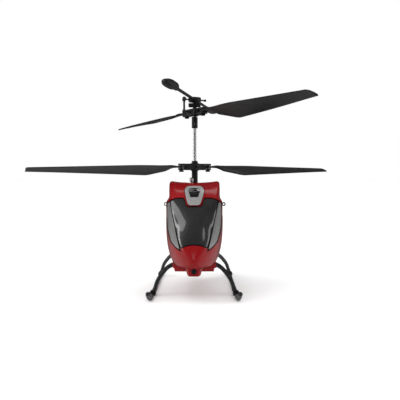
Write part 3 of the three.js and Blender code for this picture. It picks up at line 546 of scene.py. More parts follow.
def battery_wrap():
    """Shrink film over a soft pouch: creased, glossy, dull blue."""
    n = Nodes("battery wrap")
    crease = n.noise(210, 6, 0.62, 1.4)
    n.set(
        Base_Color=n.blend(n.remap(crease, 0.35, 0.7, 0, 1), (0.02, 0.045, 0.13, 1),
        (0.045, 0.085, 0.2, 1)))
    n.set(Roughness=n.remap(crease, 0.3, 0.7, 0.2, 0.36), Coat_Weight=0.4, Coat_Roughness=0.1)
    n.set(Normal=n.bump(crease, 0.5, 0.3))
    return n.material


def circuit_lacquer():
    """Green solder mask with hair-fine tracks under it, and a woven glass ground."""
    n = Nodes("circuit lacquer")
    x, y, _ = n.axes(n.stretched((1000, 1000, 1000)))[:3]
    tracks = n.math(
        "GREATER_THAN", n.math("SINE", n.math("MULTIPLY", n.math("ADD", x, n.math("MULTIPLY", y, 0.35)),
        7.0)), 0.72)
    weave = n.math(
        "MULTIPLY", n.math("SINE", n.math("MULTIPLY", x, 18.0)),
        n.math("SINE", n.math("MULTIPLY", y, 18.0)))
    ground = n.blend(n.remap(weave, -1, 1, 0, 1), (0.008, 0.065, 0.022, 1), (0.012, 0.095, 0.03, 1))
    n.set(
        Base_Color=n.blend(tracks, ground, (0.03, 0.19, 0.06, 1)), Roughness=n.remap(weave, -1, 1, 0.26,
        0.38))
    n.set(Normal=n.bump(tracks, 0.2, 0.03), Coat_Weight=0.3)
    return n.material


def lens_glass():
    """Deep black polished lens: the slightest bloom in its gloss."""
    n = Nodes("dark lens")
    bloom = n.noise(800, 3)
    n.set(Base_Color=n.blend(bloom, grey(0.003), (0.006, 0.005, 0.012, 1)))
    n.set(Roughness=n.remap(bloom, 0.3, 0.7, 0.03, 0.09), Coat_Weight=1.0, Coat_Roughness=0.02, IOR=1.6)
    return n.material


LOOKS = {
    "red_shell": red_paint(),
    "carbon_panel": carbon_panel(),
    "smoke_panel": smoke_panel(),
    "bright_trim": bright_trim(),
    "dark_lens": lens_glass(),
    "steel": metal("ground steel", (0.7, 0.71, 0.72, 1), 0.24, spin=True),
    "screw": metal("bright screw", (0.66, 0.65, 0.62, 1), 0.22, spin=True),
    "motor_can": metal("motor can", (0.5, 0.5, 0.5, 1), 0.28, spin=True, streaks=2600, dirt=0.08),
    "dark_steel": metal("blackened bolt", (0.035, 0.035, 0.038, 1), 0.3, spin=True),
    "frame_metal": metal("anodised plate", (0.05, 0.05, 0.055, 1), 0.34, streaks=3400),
    "brass": metal("brass", (0.66, 0.46, 0.2, 1), 0.26, spin=True, dirt=0.05),
    "black_plastic": moulded("black plastic", 0.004, 0.42),
    "black_rod": moulded("black rod", 0.003, 0.4, grain=3800),
    "skid_plastic": moulded("skid plastic", 0.006, 0.2, grain=1500, coat=0.5),
    "rubber": moulded("soft boot", 0.07, 0.5, grain=3200, lift=0.15, depth=0.02),
    "blade_plastic": blade_plastic(),
    "gear_nylon": gear_nylon(),
    "battery_wrap": battery_wrap(),
    "board": circuit_lacquer(),
}
SLOT_OF = {part["node"]: part["material_slot"] for part in frame["record"]["subparts"]}
BODY_OF = {node: body for body, held in frame["record"]["behaviour"]["bodies"].items() for node in held}


# ---------------------------------------------------------------- camera, light and floor
FLOOR_REACH = 4.0                 # metres
ROOM_LOW = 0.62                   # the room's brightness at the horizon and overhead
ROOM_HIGH = 1.6
ROOM_GLOSS = 0.05                 # in reflections: above, below, and low down at either side
ROOM_GLOSS_BELOW = 0.3
ROOM_GLOSS_SIDE = 0.5
LAMPS = (                         # name, place, width, height, watts
    ("overhead", (-0.72, -0.17, 1.15), 0.95, 0.95, 5.5),
    ("left_strip", (-1.4, -0.3, 0.5), 0.3, 1.2, 6.0),
    ("right_strip", (1.4, -0.35, 0.5), 0.25, 1.1, 2.2),
    ("leaf", (0.74, -0.88, 1.12), 0.3, 0.6, 0.8),
    ("shaft_strip", (-0.06, -2.2, 0.35), 0.16, 0.7, 0.5),
    ("rear", (0.3, 0.8, 1.7), 0.9, 0.5, 1.5),
)


def studio_world():
    """A white room that lights the floor evenly, and shows darker in reflections than to the camera."""
    n = Nodes("studio", bpy.data.worlds.new("studio"))
    n.tree.nodes.remove(n.tree.nodes["Background"])
    across, _, up = n.axes()[:3]

    def sky(strength):
        made = n.new("ShaderNodeBackground")
        made.inputs["Color"].default_value = (1, 1, 1, 1)
        n.feed(made.inputs["Strength"], strength)
        return made.outputs[0]

    beside = n.remap(n.math("ABSOLUTE", across), 0.35, 0.85, 0.0, ROOM_GLOSS_SIDE)
    low_down = n.remap(up, -0.3, 0.4, 1.0, 0.0)
    gloss = n.math("MULTIPLY_ADD", beside, low_down, n.remap(up, -0.6, 0.15, ROOM_GLOSS_BELOW, ROOM_GLOSS))
    rays = n.new("ShaderNodeLightPath").outputs
    last = sky(n.remap(up, 0.0, 1.0, ROOM_LOW, ROOM_HIGH))
    for ray, strength in (("Is Glossy Ray", gloss), ("Is Camera Ray", 1.0)):
        mix = n.new("ShaderNodeMixShader")
        for source, socket in zip((rays[ray], last, sky(strength)), mix.inputs):
            n.wire(source, socket)
        last = mix.outputs[0]
    n.wire(last, n.tree.nodes["World Output"].inputs["Surface"])
    return n.material


def stage():
    """A pale floor and soft studio light, and the camera at the photograph's angle."""
    scene = bpy.context.scene
    scene.view_settings.view_transform = "Standard"
    eye = bpy.data.cameras.new("camera")
    eye.sensor_width = 36
    eye.lens = 51.38
    eye.clip_start = 0.01
    camera = bpy.data.objects.new("camera", eye)
    camera.location = Vector((3.0, MAST_Y - 325.8, 66.0)) * MM
    camera.rotation_euler = (math.radians(90 - 2.86), 0, 0)
    scene.collection.objects.link(camera)
    scene.camera = camera

    floor_mesh = bpy.data.meshes.new("floor")
    corners = ((-1, -1), (1, -1), (1, 1), (-1, 1))
    floor_mesh.from_pydata([(FLOOR_REACH * x, FLOOR_REACH * y, 0) for x, y in corners], [], [(0, 1, 2, 3)])
    floor = bpy.data.objects.new("floor", floor_mesh)
    scene.collection.objects.link(floor)
    n = Nodes("pale floor")
    n.set(Base_Color=n.blend(n.noise(12, 3), grey(0.86), grey(0.9)), Roughness=0.75)
    floor_mesh.materials.append(n.material)
    floor.visible_glossy = False

    scene.world = studio_world()
    aim = Vector((0, MAST_Y * MM, 0.04))
    for name, place, wide, high, power in LAMPS:
        light = bpy.data.lights.new(name, "AREA")
        light.shape = "RECTANGLE" if "strip" in name else "ELLIPSE"
        light.size = wide
        light.size_y = high
        light.energy = power
        lamp = bpy.data.objects.new(name, light)
        lamp.location = place
        lamp.rotation_euler = (aim - Vector(place)).to_track_quat("-Z", "Y").to_euler()
        scene.collection.objects.link(lamp)


stage()


# ---------------------------------------------------------------- canopy skin
BODY_FRONT = -49.0
BODY_BACK = 18.0
BODY_HALF = 15.5
BODY_WIDE_Z = 42.0
ROOF_Z = 60.9
ROOF_BACK = -8.0
REAR_SLANT = 28.0
BELLY_Z = 13.8
SPLIT_Z = 18.2
SHELL_THICK = 1.2
POCKET = 1.0
PANEL = 0.5
NOSE_Z = 22.0
GAP = 0.3
FINE = 1.0


def ramp(x, low, high):
    """Smoothstep on arrays."""
    t = np.clip((x - low) / (high - low), 0.0, 1.0)
    return t * t * (3 - 2 * t)


def nose_curve(y, start, length, power, root):
    """From 1 well behind the nose to 0 at its tip."""
    ahead = np.clip((start - y) / length, 0.0, 1.0)
    return (1 - ahead ** power) ** (1 / root)


def signed_power(value, power):
    return np.sign(value) * np.abs(value) ** power


def bare_skin(y, angle, inset):
    """Points [x, z] of the canopy's smooth outer skin at a distance behind the mast, moved in by an inset."""
    rise = nose_curve(y, BODY_FRONT + 39, 39 - inset, 1.5, 1.7)
    top = NOSE_Z + (ROOF_Z - NOSE_Z - inset) * rise
    centre = NOSE_Z + (BODY_WIDE_Z - NOSE_Z) * rise
    bottom = NOSE_Z - (NOSE_Z - BELLY_Z - inset) * nose_curve(y, BODY_FRONT + 19, 19 - inset, 2.2, 2.2)
    slim = 1 - 0.2 * ramp(y, 0, BODY_BACK)
    half = (BODY_HALF * slim - inset) * nose_curve(y, BODY_FRONT + 37.5, 37.5 - inset, 2.2, 2)
    c = np.cos(angle)
    s = np.sin(angle)
    c = np.where(np.abs(c) < 1e-9, 0.0, c)
    s = np.where(np.abs(s) < 1e-9, 0.0, s)
    upper = s > 0
    boxy = np.where(upper, lerp(2.4, 24, ramp(y, BODY_FRONT + 8, BODY_FRONT + 36)), 3.0)
    across = signed_power(c, 2 / boxy)
    up = signed_power(s, 2 / boxy)
    z = centre + up * np.where(upper, top - centre, centre - bottom)
    neck = 1 - 0.11 * ramp(z, 49.5, 52.5) * ramp(y, BODY_FRONT + 10, BODY_FRONT + 24)
    dip = 1.3 * ramp(
        y, BODY_FRONT + 20, BODY_FRONT + 38) * ramp(z, ROOF_Z - 6, ROOF_Z - 2) * (1 - across ** 2)
    return half * neck * across, z - dip


def cheek(y, x, z):
    """How far the flank beside the nose dome is let in: a crease from the windscreen to the chin."""
    edge = np.interp(z, (18.5, 19.5, 22.3, 28.3, 31), (2.6, 3.8, 5.9, 6.7, 6.9))
    out = np.abs(x) - edge
    depth = 0.95 * ramp(out, -0.08, 0.3) * (1 - ramp(out, 1.0, 7.0))
    return depth * (1 - ramp(z, 27.4, 30.5)) * (1 - ramp(y, -33.0, -25.0))


def skin(y, angle, inset=0.0):
    x, z = bare_skin(y, angle, inset)
    return bare_skin(y, angle, inset + cheek(y, x, z))


def even_ring(y, inset, count):
    """Points round the skin at one station, spaced evenly along it, starting at the middle of the belly."""
    angle = np.linspace(-TAU / 4, TAU * 3 / 4, 1441)
    x, z = skin(np.full_like(angle, y), angle, inset)
    gone = np.concatenate(([0.0], np.cumsum(np.hypot(np.diff(x), np.diff(z)))))
    target = np.linspace(0, gone[-1], count, endpoint=False)
    return [(float(a), y, float(b)) for a, b in zip(np.interp(target, gone, x), np.interp(target, gone, z))]


def skin_body(inset, extra=0.0):
    """The canopy's whole skin as a closed body, moved in by an inset."""
    around = int(232 * FINE)
    along = int(130 * FINE)
    first = BODY_FRONT + inset + 0.004
    return loft([even_ring(lerp(first, BODY_BACK + extra, (i / along) ** 2.0), inset, around)
                 for i in range(along + 1)])


def layer(outer, inner):
    """The part of the skin between two insets."""
    return cut(skin_body(outer), skin_body(inner))


def skin_top(x, y, inset=0.0):
    """Height of the skin's upper half above a place."""
    angle = np.linspace(TAU / 4, 0, 721)
    across, z = skin(np.full_like(angle, y), angle, inset)
    return float(np.interp(abs(x), across, z))


def skin_depth(x, z, inset=0.0):
    """How far behind the mast the skin's front is at a place of the front view."""
    near = BODY_FRONT + inset + 0.01
    far = 0.0
    for _ in range(40):
        half_way = (near + far) / 2
        if skin_top(x, half_way, inset) < z:
            near = half_way
        else:
            far = half_way
    return (near + far) / 2


def face_frame(x, z, inset=0.0):
    """A frame on the skin's front: Z out of the surface, Y up along it, X to a viewer's right."""
    here = Vector((x, skin_depth(x, z, inset), z))
    above = Vector((x, skin_depth(x, z + 0.4, inset), z + 0.4))
    up = (above - here).normalized()
    right = Vector((1, 0, 0))
    out = right.cross(up).normalized()
    turned_frame = Matrix((right, up, out)).transposed().to_4x4()
    return Matrix.Translation(here) @ turned_frame


def softened_outline(points, corner=0.8, steps=5):
    """A closed outline with each corner rounded."""
    pts = [Vector(p) for p in points]
    made = []
    for i, here in enumerate(pts):
        made += bend(pts[i - 1], here, pts[(i + 1) % len(pts)], corner, steps - 1)
    return [(p.x, p.y) for p in made]


def grown(points, amount):
    """An outline moved outwards all round by an amount."""
    corners = [Vector(p) for p in points]
    area = sum(a.x * b.y - b.x * a.y for a, b in zip(corners, corners[1:] + corners[:1]))
    outward = math.copysign(amount, area)
    made = []
    for i, corner in enumerate(corners):
        before = (corner - corners[i - 1]).normalized()
        after = (corners[(i + 1) % len(corners)] - corner).normalized()
        reach = outward / (1 + before.dot(after))
        made.append((corner.x + reach * (before.y + after.y), corner.y - reach * (before.x + after.x)))
    return made


def front_prism(points, back, mirrored=False, corner=0.8):
    """An upright outline of [x, z] points, swept from ahead of the nose back to a distance."""
    outline = [(-x, z) for x, z in reversed(points)] if mirrored else points
    return turn(plate(softened_outline(outline, corner), -back, -back + 45), 90, "X")


def both_sides(points):
    return points + [(-x, z) for x, z in reversed(points)]


WINDSCREEN = both_sides([
    (4.1, 47.7), (5.6, 51.9), (9, 51.8), (12.1, 50.9), (11.8, 48), (9.9, 40.5), (8.1, 33.5), (6.5, 28.6),
    (3.6, 29.9), (0.6, 30.3)])
SIDE_WINDOW = [(12.7, 50.2), (13.9, 49.6), (14.4, 44), (13.7, 36.5), (11.7, 30.6), (9.2, 28.2), (7.2, 27.2),
               (8.9, 34), (10.6, 41)]
BEZEL = both_sides([(3.1, 48.8), (4.6, 53.6), (5.2, 56.2), (4.4, 57.8), (2.4, 58.3)])
BEZEL_MOUTH = both_sides([(2.1, 52.6), (2.7, 54.8), (3.2, 55.2), (2.8, 56.8), (1.4, 57.2)])
BEZEL_BACK = -17.0                # rear ends of the bezel and of the pockets for the windscreen and windows
PANEL_BACK = -18.0
SIDE_BACK = -24.0
PIN_Y = -6.0
PIN_Z = 47.7
LENS_Z = 16.3


def canopy():
    """The red shell: open at the back and below, pocketed for its windows and the intake bezel."""
    shell = skin_body(0.0)
    floor_cut = block((-30, -80, 0), (30, 80, SPLIT_Z + 1.4))
    room = skin_body(SHELL_THICK, 4)
    cut(shell, cut(copied(room), floor_cut))
    cut(shell, cut(room, block((-30, -80, 0), (30, -30, 80))))
    cut(shell, block((-30, -80, 0), (30, 80, SPLIT_Z + GAP / 2)))
    back = turn(block((-30, 0, -70), (30, 70, 80)), REAR_SLANT, "X")
    cut(shell, shifted(back, (0, ROOF_BACK, ROOF_Z)))
    pockets = layer(-1, POCKET)
    for outline, end, mirrored in ((grown(WINDSCREEN, 2 * GAP), PANEL_BACK, False),
                                   (grown(BEZEL, GAP), BEZEL_BACK, False),
                                   (grown(SIDE_WINDOW, 2 * GAP), SIDE_BACK, False),
                                   (grown(SIDE_WINDOW, 2 * GAP), SIDE_BACK, True)):
        cut(shell, common(copied(pockets), front_prism(outline, end, mirrored)))
    bpy.data.objects.remove(pockets)
    for side in (1, -1):
        cut(shell, shifted(turn(plain_rod(0.95, 12, 20), side * 90, "Y"), (0, PIN_Y, PIN_Z)))
    finished(shell, "canopy_shell", "red_shell", "canopy", sharp=24)


def panels():
    """The carbon windscreen, the two grey side windows and the black seal behind and between them."""
    film = layer(0.05, 0.05 + PANEL)
    screen = common(copied(film), front_prism(WINDSCREEN, PANEL_BACK - 2, corner=1.0))
    finished(screen, "windscreen_panel", "carbon_panel", "windscreen", sharp=24)
    for name, mirrored in (("right", False), ("left", True)):
        pane = common(copied(film), front_prism(SIDE_WINDOW, SIDE_BACK - 0.4, mirrored, 0.7))
        finished(pane, f"side_pane_{name}", "smoke_panel", f"side_window_{name}", sharp=24)
    bpy.data.objects.remove(film)
    backing = layer(0.6, 0.95)
    seal = common(copied(backing), front_prism(grown(WINDSCREEN, 0.5), PANEL_BACK - 0.4))
    for mirrored in (False, True):
        join(seal, common(copied(backing), front_prism(grown(SIDE_WINDOW, 0.5), SIDE_BACK - 0.4, mirrored)))
    bpy.data.objects.remove(backing)
    finished(seal, "window_seal", "black_plastic", sharp=24)


def intake():
    """The plated bezel on the canopy's brow, with a dished reflector and lens above a dark slot."""
    rim = common(layer(-0.6, 0.9), front_prism(BEZEL, BEZEL_BACK, corner=1.5))
    cut(rim, front_prism(BEZEL_MOUTH, BEZEL_BACK + 3, corner=0.5))
    softened(rim, 0.16, 3, 40)
    finished(rim, "intake_bezel_trim", "bright_trim", "intake_bezel", sharp=40)
    dish = lathe([(0, -1.0), (1.5, -0.8), (2.6, -0.1), (3.05, 0.15), (3.15, 0.0), (2.7, -0.5), (1.6, -1.15),
                           (0, -1.3)], 0.4, 56)
    at = metres() @ face_frame(0, 55.9, 0.25) @ Matrix.Diagonal((1, 0.5, 0.8, 1))
    finished(dish, "intake_reflector", "bright_trim", at=at)
    # Painted shade: a black sheet behind the bezel's mouth makes the gaps round the reflector and slot dark,
    # as the shade of a deep recess would.
    back = common(layer(0.5, 0.92), front_prism(grown(BEZEL_MOUTH, 0.35), BEZEL_BACK + 2.6))
    finished(back, "intake_shade_backing", "black_plastic")
    eye = lathe([(0, -1.0), (1.35, -0.9), (1.35, -0.2), (1.0, 0.35), (0.5, 0.55), (0, 0.6)], 0.3, 40)
    at = metres() @ face_frame(0.35, 56.0, 0.4) @ Matrix.Diagonal((1.15, 0.62, 0.8, 1))
    finished(eye, "intake_lens", "dark_lens", at=at)
    slot = slab((-2.7, -1.05, -0.8), (2.7, 1.05, -0.1), 0.25)
    for i in range(3):
        join(slot, slab((-2.5, -0.85 + i * 0.62, -0.3), (2.5, -0.6 + i * 0.62, 0.05), 0.08, 2))
    finished(slot, "intake_slot", "black_plastic", at=metres() @ face_frame(0, 53.75, 0.35))


# ---------------------------------------------------------------- blades
BLADE_ROOT = 6.5
BLADE_BOLT = 8.5
BLADE_CORNER = 23.7
BLADE_TRAIL = 14.5
TAB_THICK = 1.1
TAB_END = 11.0                    # radius where the root tab begins to widen into the blade
TAB_HALF = 2.1
PITCH_CORNER = 18.5
PITCH_TIP = 11.9
DROOP = 1.14
BOLT_R = 0.6


def tab_half(radius):
    inward = max(0.0, BLADE_BOLT - radius) / (BLADE_BOLT - BLADE_ROOT + 0.15)
    return TAB_HALF * math.sqrt(max(0.05, 1 - inward * inward))


def leading_edge(radius):
    return lerp(tab_half(radius), 4.15, smooth(radius, TAB_END, 40))


def trailing_edge(radius):
    if radius < BLADE_CORNER:
        share = max(0.0, (radius - TAB_END) / (BLADE_CORNER - TAB_END))
        corner = 0.5 * smooth(radius, BLADE_CORNER - 1.2, BLADE_CORNER)
        return lerp(tab_half(radius), BLADE_TRAIL, share) - corner
    out = (radius - BLADE_CORNER) / (ROTOR_RADIUS - BLADE_CORNER)
    corner = 0.5 * (1 - smooth(radius, BLADE_CORNER, BLADE_CORNER + 1.6))
    return lerp(BLADE_TRAIL, 4.27, out) + 0.9 * math.sin(math.pi * out) - corner


def twist(radius):
    """A blade's pitch in radians."""
    if radius < BLADE_CORNER:
        return math.radians(PITCH_CORNER * smooth(radius, 11.2, 16))
    return math.radians(
        lerp(PITCH_CORNER, PITCH_TIP, (radius - BLADE_CORNER) / (ROTOR_RADIUS - BLADE_CORNER)))


def blade_section(radius, turning):
    """One closed section of a blade: a thin cambered foil, blending into the flat round-ended root tab."""
    wing = smooth(radius, TAB_END, BLADE_CORNER)
    lead = leading_edge(radius)
    trail = trailing_edge(radius)
    chord = lead + trail
    pitch = twist(radius)
    sink = math.tan(math.radians(DROOP)) * max(0.0, radius - TAB_END)
    tip = smooth(radius, ROTOR_RADIUS - 1.6, ROTOR_RADIUS)
    count = 30
    section = []
    for upper, shares in ((True, range(count + 1)), (False, range(count - 1, 0, -1))):
        for i in shares:
            across = 0.5 - 0.5 * math.cos(math.pi * i / count)
            nose = 1 - across
            foil = 2.2 * math.sqrt(max(0.0, nose)) * (1 - 0.55 * nose) * min(1.0, across * 14 + 0.02)
            rim = math.sqrt(across * (1 - across) + 1e-9)
            thick = lerp(TAB_THICK * min(1.0, 9 * rim), (0.22 + 0.62 * foil) * min(1.0, 6 * rim), wing)
            thick *= 1 - 0.55 * tip
            camber = wing * chord * 0.05 * (1 - (2 * across - 1) ** 2)
            height = camber + (0.5 if upper else -0.5) * thick
            forward = lerp(-trail, lead, across)
            cut_off = (0.15 + 1.4 * (1 - across)) * tip + 0.5 * tip * abs(2 * across - 1) ** 6
            section.append((
                radius - cut_off, turning * (forward * math.cos(pitch) - height * math.sin(pitch)),
                forward * math.sin(pitch) + height * math.cos(pitch) - sink))
    return section


def blade(turning):
    radii = [BLADE_ROOT + 4.5 * (i / 14) ** 1.4 for i in range(14)]
    radii += [lerp(TAB_END, BLADE_CORNER, i / 22) for i in range(22)]
    radii += [lerp(BLADE_CORNER, ROTOR_RADIUS - 1.6, i / 44) for i in range(44)]
    radii += [ROTOR_RADIUS - 1.6 * (1 - i / 6) for i in range(7)]
    made = loft([blade_section(radius, turning) for radius in radii])
    bolt_boss = rod(1.75, -TAB_THICK / 2 - 0.12, TAB_THICK / 2 + 0.12, BLADE_BOLT, 0)
    return cut(join(made, bolt_boss), plain_rod(BOLT_R + 0.05, -2, 2, BLADE_BOLT, 0))


def grip_bolt(half):
    """A pan-head bolt seen from below, with a cross recess, and its shank end above the grip."""
    made = lathe([(0, -half - 1), (1.3, -half - 1), (1.3, -half - 0.1), (BOLT_R, -half - 0.1), (BOLT_R, half),
                           (0, half)], 0.22, 32)
    for size in ((0.85, 0.16), (0.16, 0.85)):
        cut(made, block((-size[0], -size[1], -half - 1.2), (size[0], size[1], -half - 0.6)))
    return shifted(made, (BLADE_BOLT, 0, 0))


def blade_pair(prefix, turning, grip_half, at):
    for letter, angle in (("a", 0), ("b", 180)):
        finished(
            turn(blade(turning), angle, "Z"), f"{prefix}_foil_{letter}", "blade_plastic",
            f"{prefix}_blade_{letter}", at=at, sharp=40)
        finished(
            turn(grip_bolt(grip_half), angle, "Z"), f"{prefix}_bolt_{letter}", "dark_steel",
            f"{prefix}_blade_bolt_{letter}", at=at)


def fork_cuts(made, reach, width, slot):
    """Opens a hub's two ends for the blades' root tabs and drills it for their bolts."""
    for side in (1, -1):
        near = BLADE_ROOT - 0.6
        low, high = ((near, reach + 1) if side > 0 else (-reach - 1, -near))
        cut(made, slab((low, -width, -slot / 2), (high, width, slot / 2), 0.12, 2))
        cut(made, plain_rod(BOLT_R + 0.05, -4, 4, side * BLADE_BOLT, 0))
    return made


def lower_hub():
    half = 1.85
    at = metres(LOWER_AZIMUTH, LOWER_Z)
    hub = softened(
        plate(softened_outline([(-10, -2.2), (10, -2.2), (10, 2.2), (-10, 2.2)], 1.6, 8), -half, half), 0.3)
    join(hub, rod(2.3, -half - 0.4, half + 0.35, edge=0.25, segments=56))
    for side in (1, -1):
        join(hub, slab((side * 4.4 - 0.5, -2.35, -half + 0.3), (side * 4.4 + 0.5, 2.35, half - 0.3), 0.15))
    cut(hub, plain_rod(1.77, -5, 5, segments=56))
    fork_cuts(hub, 10, 3, 1.5)
    finished(hub, "lower_hub", "black_plastic", "lower_rotor_hub", at=at)
    blade_pair("lower", 1, half, at)
    set_screw = lathe([(0, -0.5), (0.55, -0.5), (0.55, 0.5), (0.3, 0.5), (0.3, 0.1), (0, 0.1)], 0.08, 24)
    finished(
        turn(set_screw, 90, "X"), "lower_set_screw", "dark_steel",
        at=at @ Matrix.Translation((0, -2.6, 0)), body="lower_rotor")


def shafts():
    outer = tubing(0.98, 1.72, 23.1, LOWER_Z + 3.4)
    finished(outer, "outer_tube", "black_rod", "outer_shaft")
    inner = rod(0.9, 15.2, UPPER_Z - 1.4, segments=40)
    finished(inner, "inner_rod", "steel", "inner_shaft")
    collar = tubing(0.95, 1.7, LOWER_Z + 21.9, UPPER_Z - 2.7, edge=0.25)
    cut(collar, shifted(turn(plain_rod(0.45, 0.9, 3), 90, "X"), (0, 0, LOWER_Z + 24)))
    finished(collar, "shaft_collar", "black_rod", "inner_shaft_collar")
    race = tubing(1.77, 2.55, 54.7, 58.3, edge=0.2)
    finished(race, "bearing_race", "steel", "upper_bearing")


# ---------------------------------------------------------------- upper rotor head
ARM_REACH = 7.0
BALL_R = 0.75
ARM_AZIMUTH = UPPER_AZIMUTH - 90
SEESAW_AZIMUTH = FLYBAR_AZIMUTH + 90


def lying_rod(radius, start, end, segments=28, edge=0.1):
    """A cylinder along X."""
    return turn(rod(radius, start, end, segments=segments, edge=edge), 90, "Y")


def ball(radius, place):
    profile = [(radius * math.sin(i / 16 * math.pi), -radius * math.cos(i / 16 * math.pi)) for i in range(17)]
    profile[0] = (0, -radius)
    profile[-1] = (0, radius)
    return shifted(turned(profile, 28), place)


def rotor_head():
    """Two crossed pivot pins on a slim post, with a cross block between them."""
    head = rod(1.7, UPPER_Z - 2.4, UPPER_Z + 1.5, edge=0.2)
    join(head, rod(1.1, UPPER_Z, FLYBAR_Z + 0.9, edge=0.15))
    cross = turn(slab((-3.4, -1.5, UPPER_Z + 2.9), (3.2, 1.5, UPPER_Z + 5.1), 0.3), -12, "Z")
    join(head, cross)
    grip_pin = turn(turn(lying_rod(0.55, -4.5, 4.5), -UPPER_TILT, "Y"), UPPER_AZIMUTH, "Z")
    join(head, shifted(grip_pin, (0, 0, UPPER_Z)))
    seesaw_pin = turn(lying_rod(0.5, -3.2, 3.2), SEESAW_AZIMUTH, "Z")
    join(head, shifted(seesaw_pin, (0, 0, FLYBAR_Z)))
    cut(head, plain_rod(0.95, UPPER_Z - 3, UPPER_Z - 1.2))
    finished(head, "head_post", "black_plastic", "rotor_head")


def upper_grip():
    half = 1.75
    at = metres(UPPER_AZIMUTH, UPPER_Z, UPPER_TILT)
    ends = softened_outline([(-11, -2.3), (11, -2.3), (11, 2.3), (-11, 2.3)], 2.0, 9)
    grip = softened(plate(ends, -half, half), 0.3)
    join(
        grip, softened(plate(softened_outline([(-4.6, -3.3), (4.6, -3.3), (4.6, 3.3), (-4.6, 3.3)], 0.9),
        -half, half), 0.3))
    join(grip, turn(rod(0.5, 3.1, ARM_REACH, edge=0.05), 90, "X"))
    join(grip, ball(BALL_R, (0, -ARM_REACH, 0)))
    cut(grip, slab((-2.5, -2.5, -3), (2.5, 2.5, 3), 0.3))
    cut(grip, lying_rod(0.62, -5.5, 5.5))
    fork_cuts(grip, 11, 3, 1.5)
    finished(grip, "upper_grip_body", "black_plastic", "upper_blade_grip", at=at)
    blade_pair("upper", -1, half, at)


# ---------------------------------------------------------------- flybar
WEIGHT_START = 48.0
WEIGHT_LENGTH = 21.5


def flybar_weight():
    """A flat oval bob, fuller on top, with a socket boss for the end of its rod."""
    rings = []
    steps = 30
    for i in range(steps + 1):
        share = 0.5 - 0.5 * math.cos(math.pi * i / steps)
        swell = (1 - abs(2 * share - 1) ** 3.2 + 1e-4) ** 0.5
        x = WEIGHT_START + WEIGHT_LENGTH * share
        rings.append([(x, 3.0 * swell * fuller(c, 0.85), (1.9 if s > 0 else 1.75) * swell * fuller(s, 0.8))
                      for c, s in circle(40)])
    bob = loft(rings)
    join(bob, lying_rod(1.35, WEIGHT_START - 1.2, WEIGHT_START + 3, edge=0.3))
    return cut(bob, lying_rod(0.9, WEIGHT_START - 4, WEIGHT_START + 2.6))


def flybar():
    at = metres(FLYBAR_AZIMUTH, FLYBAR_Z)
    arm_angle = ARM_AZIMUTH - FLYBAR_AZIMUTH
    hub = lathe([(0, -1.3), (3.5, -1.3), (3.7, 0), (3.5, 1.3), (0, 1.3)], 0.35, 56)
    join(hub, slab((-5.2, -1.35, -1.15), (5.2, 1.35, 1.15), 0.3))
    for side in (0, 180):
        join(hub, turn(lying_rod(0.42, 2.6, ARM_REACH - 0.3), arm_angle + side, "Z"))
        join(hub, turn(ball(BALL_R, (ARM_REACH, 0, 0)), arm_angle + side, "Z"))
    cut(hub, slab((-1.9, -1.9, -2), (1.9, 1.9, 2), 0.2))
    cut(hub, lying_rod(0.86, -6, 6))
    cut(hub, turn(rod(0.57, -3.4, 3.4, edge=0.02), 90, "X"))
    finished(hub, "flybar_seesaw_hub", "black_plastic", "flybar_hub", at=at)
    for name, angle in (("front", 0), ("rear", 180)):
        bar = turn(lying_rod(0.82, 2.6, WEIGHT_START + 2.4), angle, "Z")
        finished(bar, f"flybar_bar_{name}", "black_rod", f"flybar_rod_{name}", at=at)
        finished(
            turn(flybar_weight(), angle, "Z"), f"flybar_bob_{name}", "black_plastic",
            f"flybar_weight_{name}", at=at)


def link_rod():
    """An upright link with a snap ring round each ball."""
    def eye(height):
        ring = turn(tubing(0.85, 1.4, -0.5, 0.5, edge=0.15), 90, "Y")
        return shifted(ring, (ARM_REACH, 0, height))
    link = rod(0.55, UPPER_Z + BALL_R + 0.3, FLYBAR_Z - BALL_R - 0.3, ARM_REACH, 0, edge=0.05)
    join(link, eye(UPPER_Z))
    join(link, eye(FLYBAR_Z))
    finished(link, "ball_link", "black_plastic", "flybar_link", at=metres(ARM_AZIMUTH))


lower_hub()
shafts()
rotor_head()
upper_grip()
flybar()
link_rod()


# ---------------------------------------------------------------- nose, pins and belly
def refined(node, width):
    """A carried-over CAD piece as a new one with its flat faces merged and its hard edges rounded."""
    made = moved(copied(nodes[node]), metres().inverted())
    flat = bmesh.new()
    flat.from_mesh(made.data)
    bmesh.ops.remove_doubles(flat, verts=flat.verts, dist=1e-3)
    bmesh.ops.dissolve_limit(flat, angle_limit=math.radians(0.6), verts=flat.verts, edges=flat.edges)
    flat.to_mesh(made.data)
    flat.free()
    finished(softened(made, width, 2, 34), f"{node}_finished", SLOT_OF[node], node)


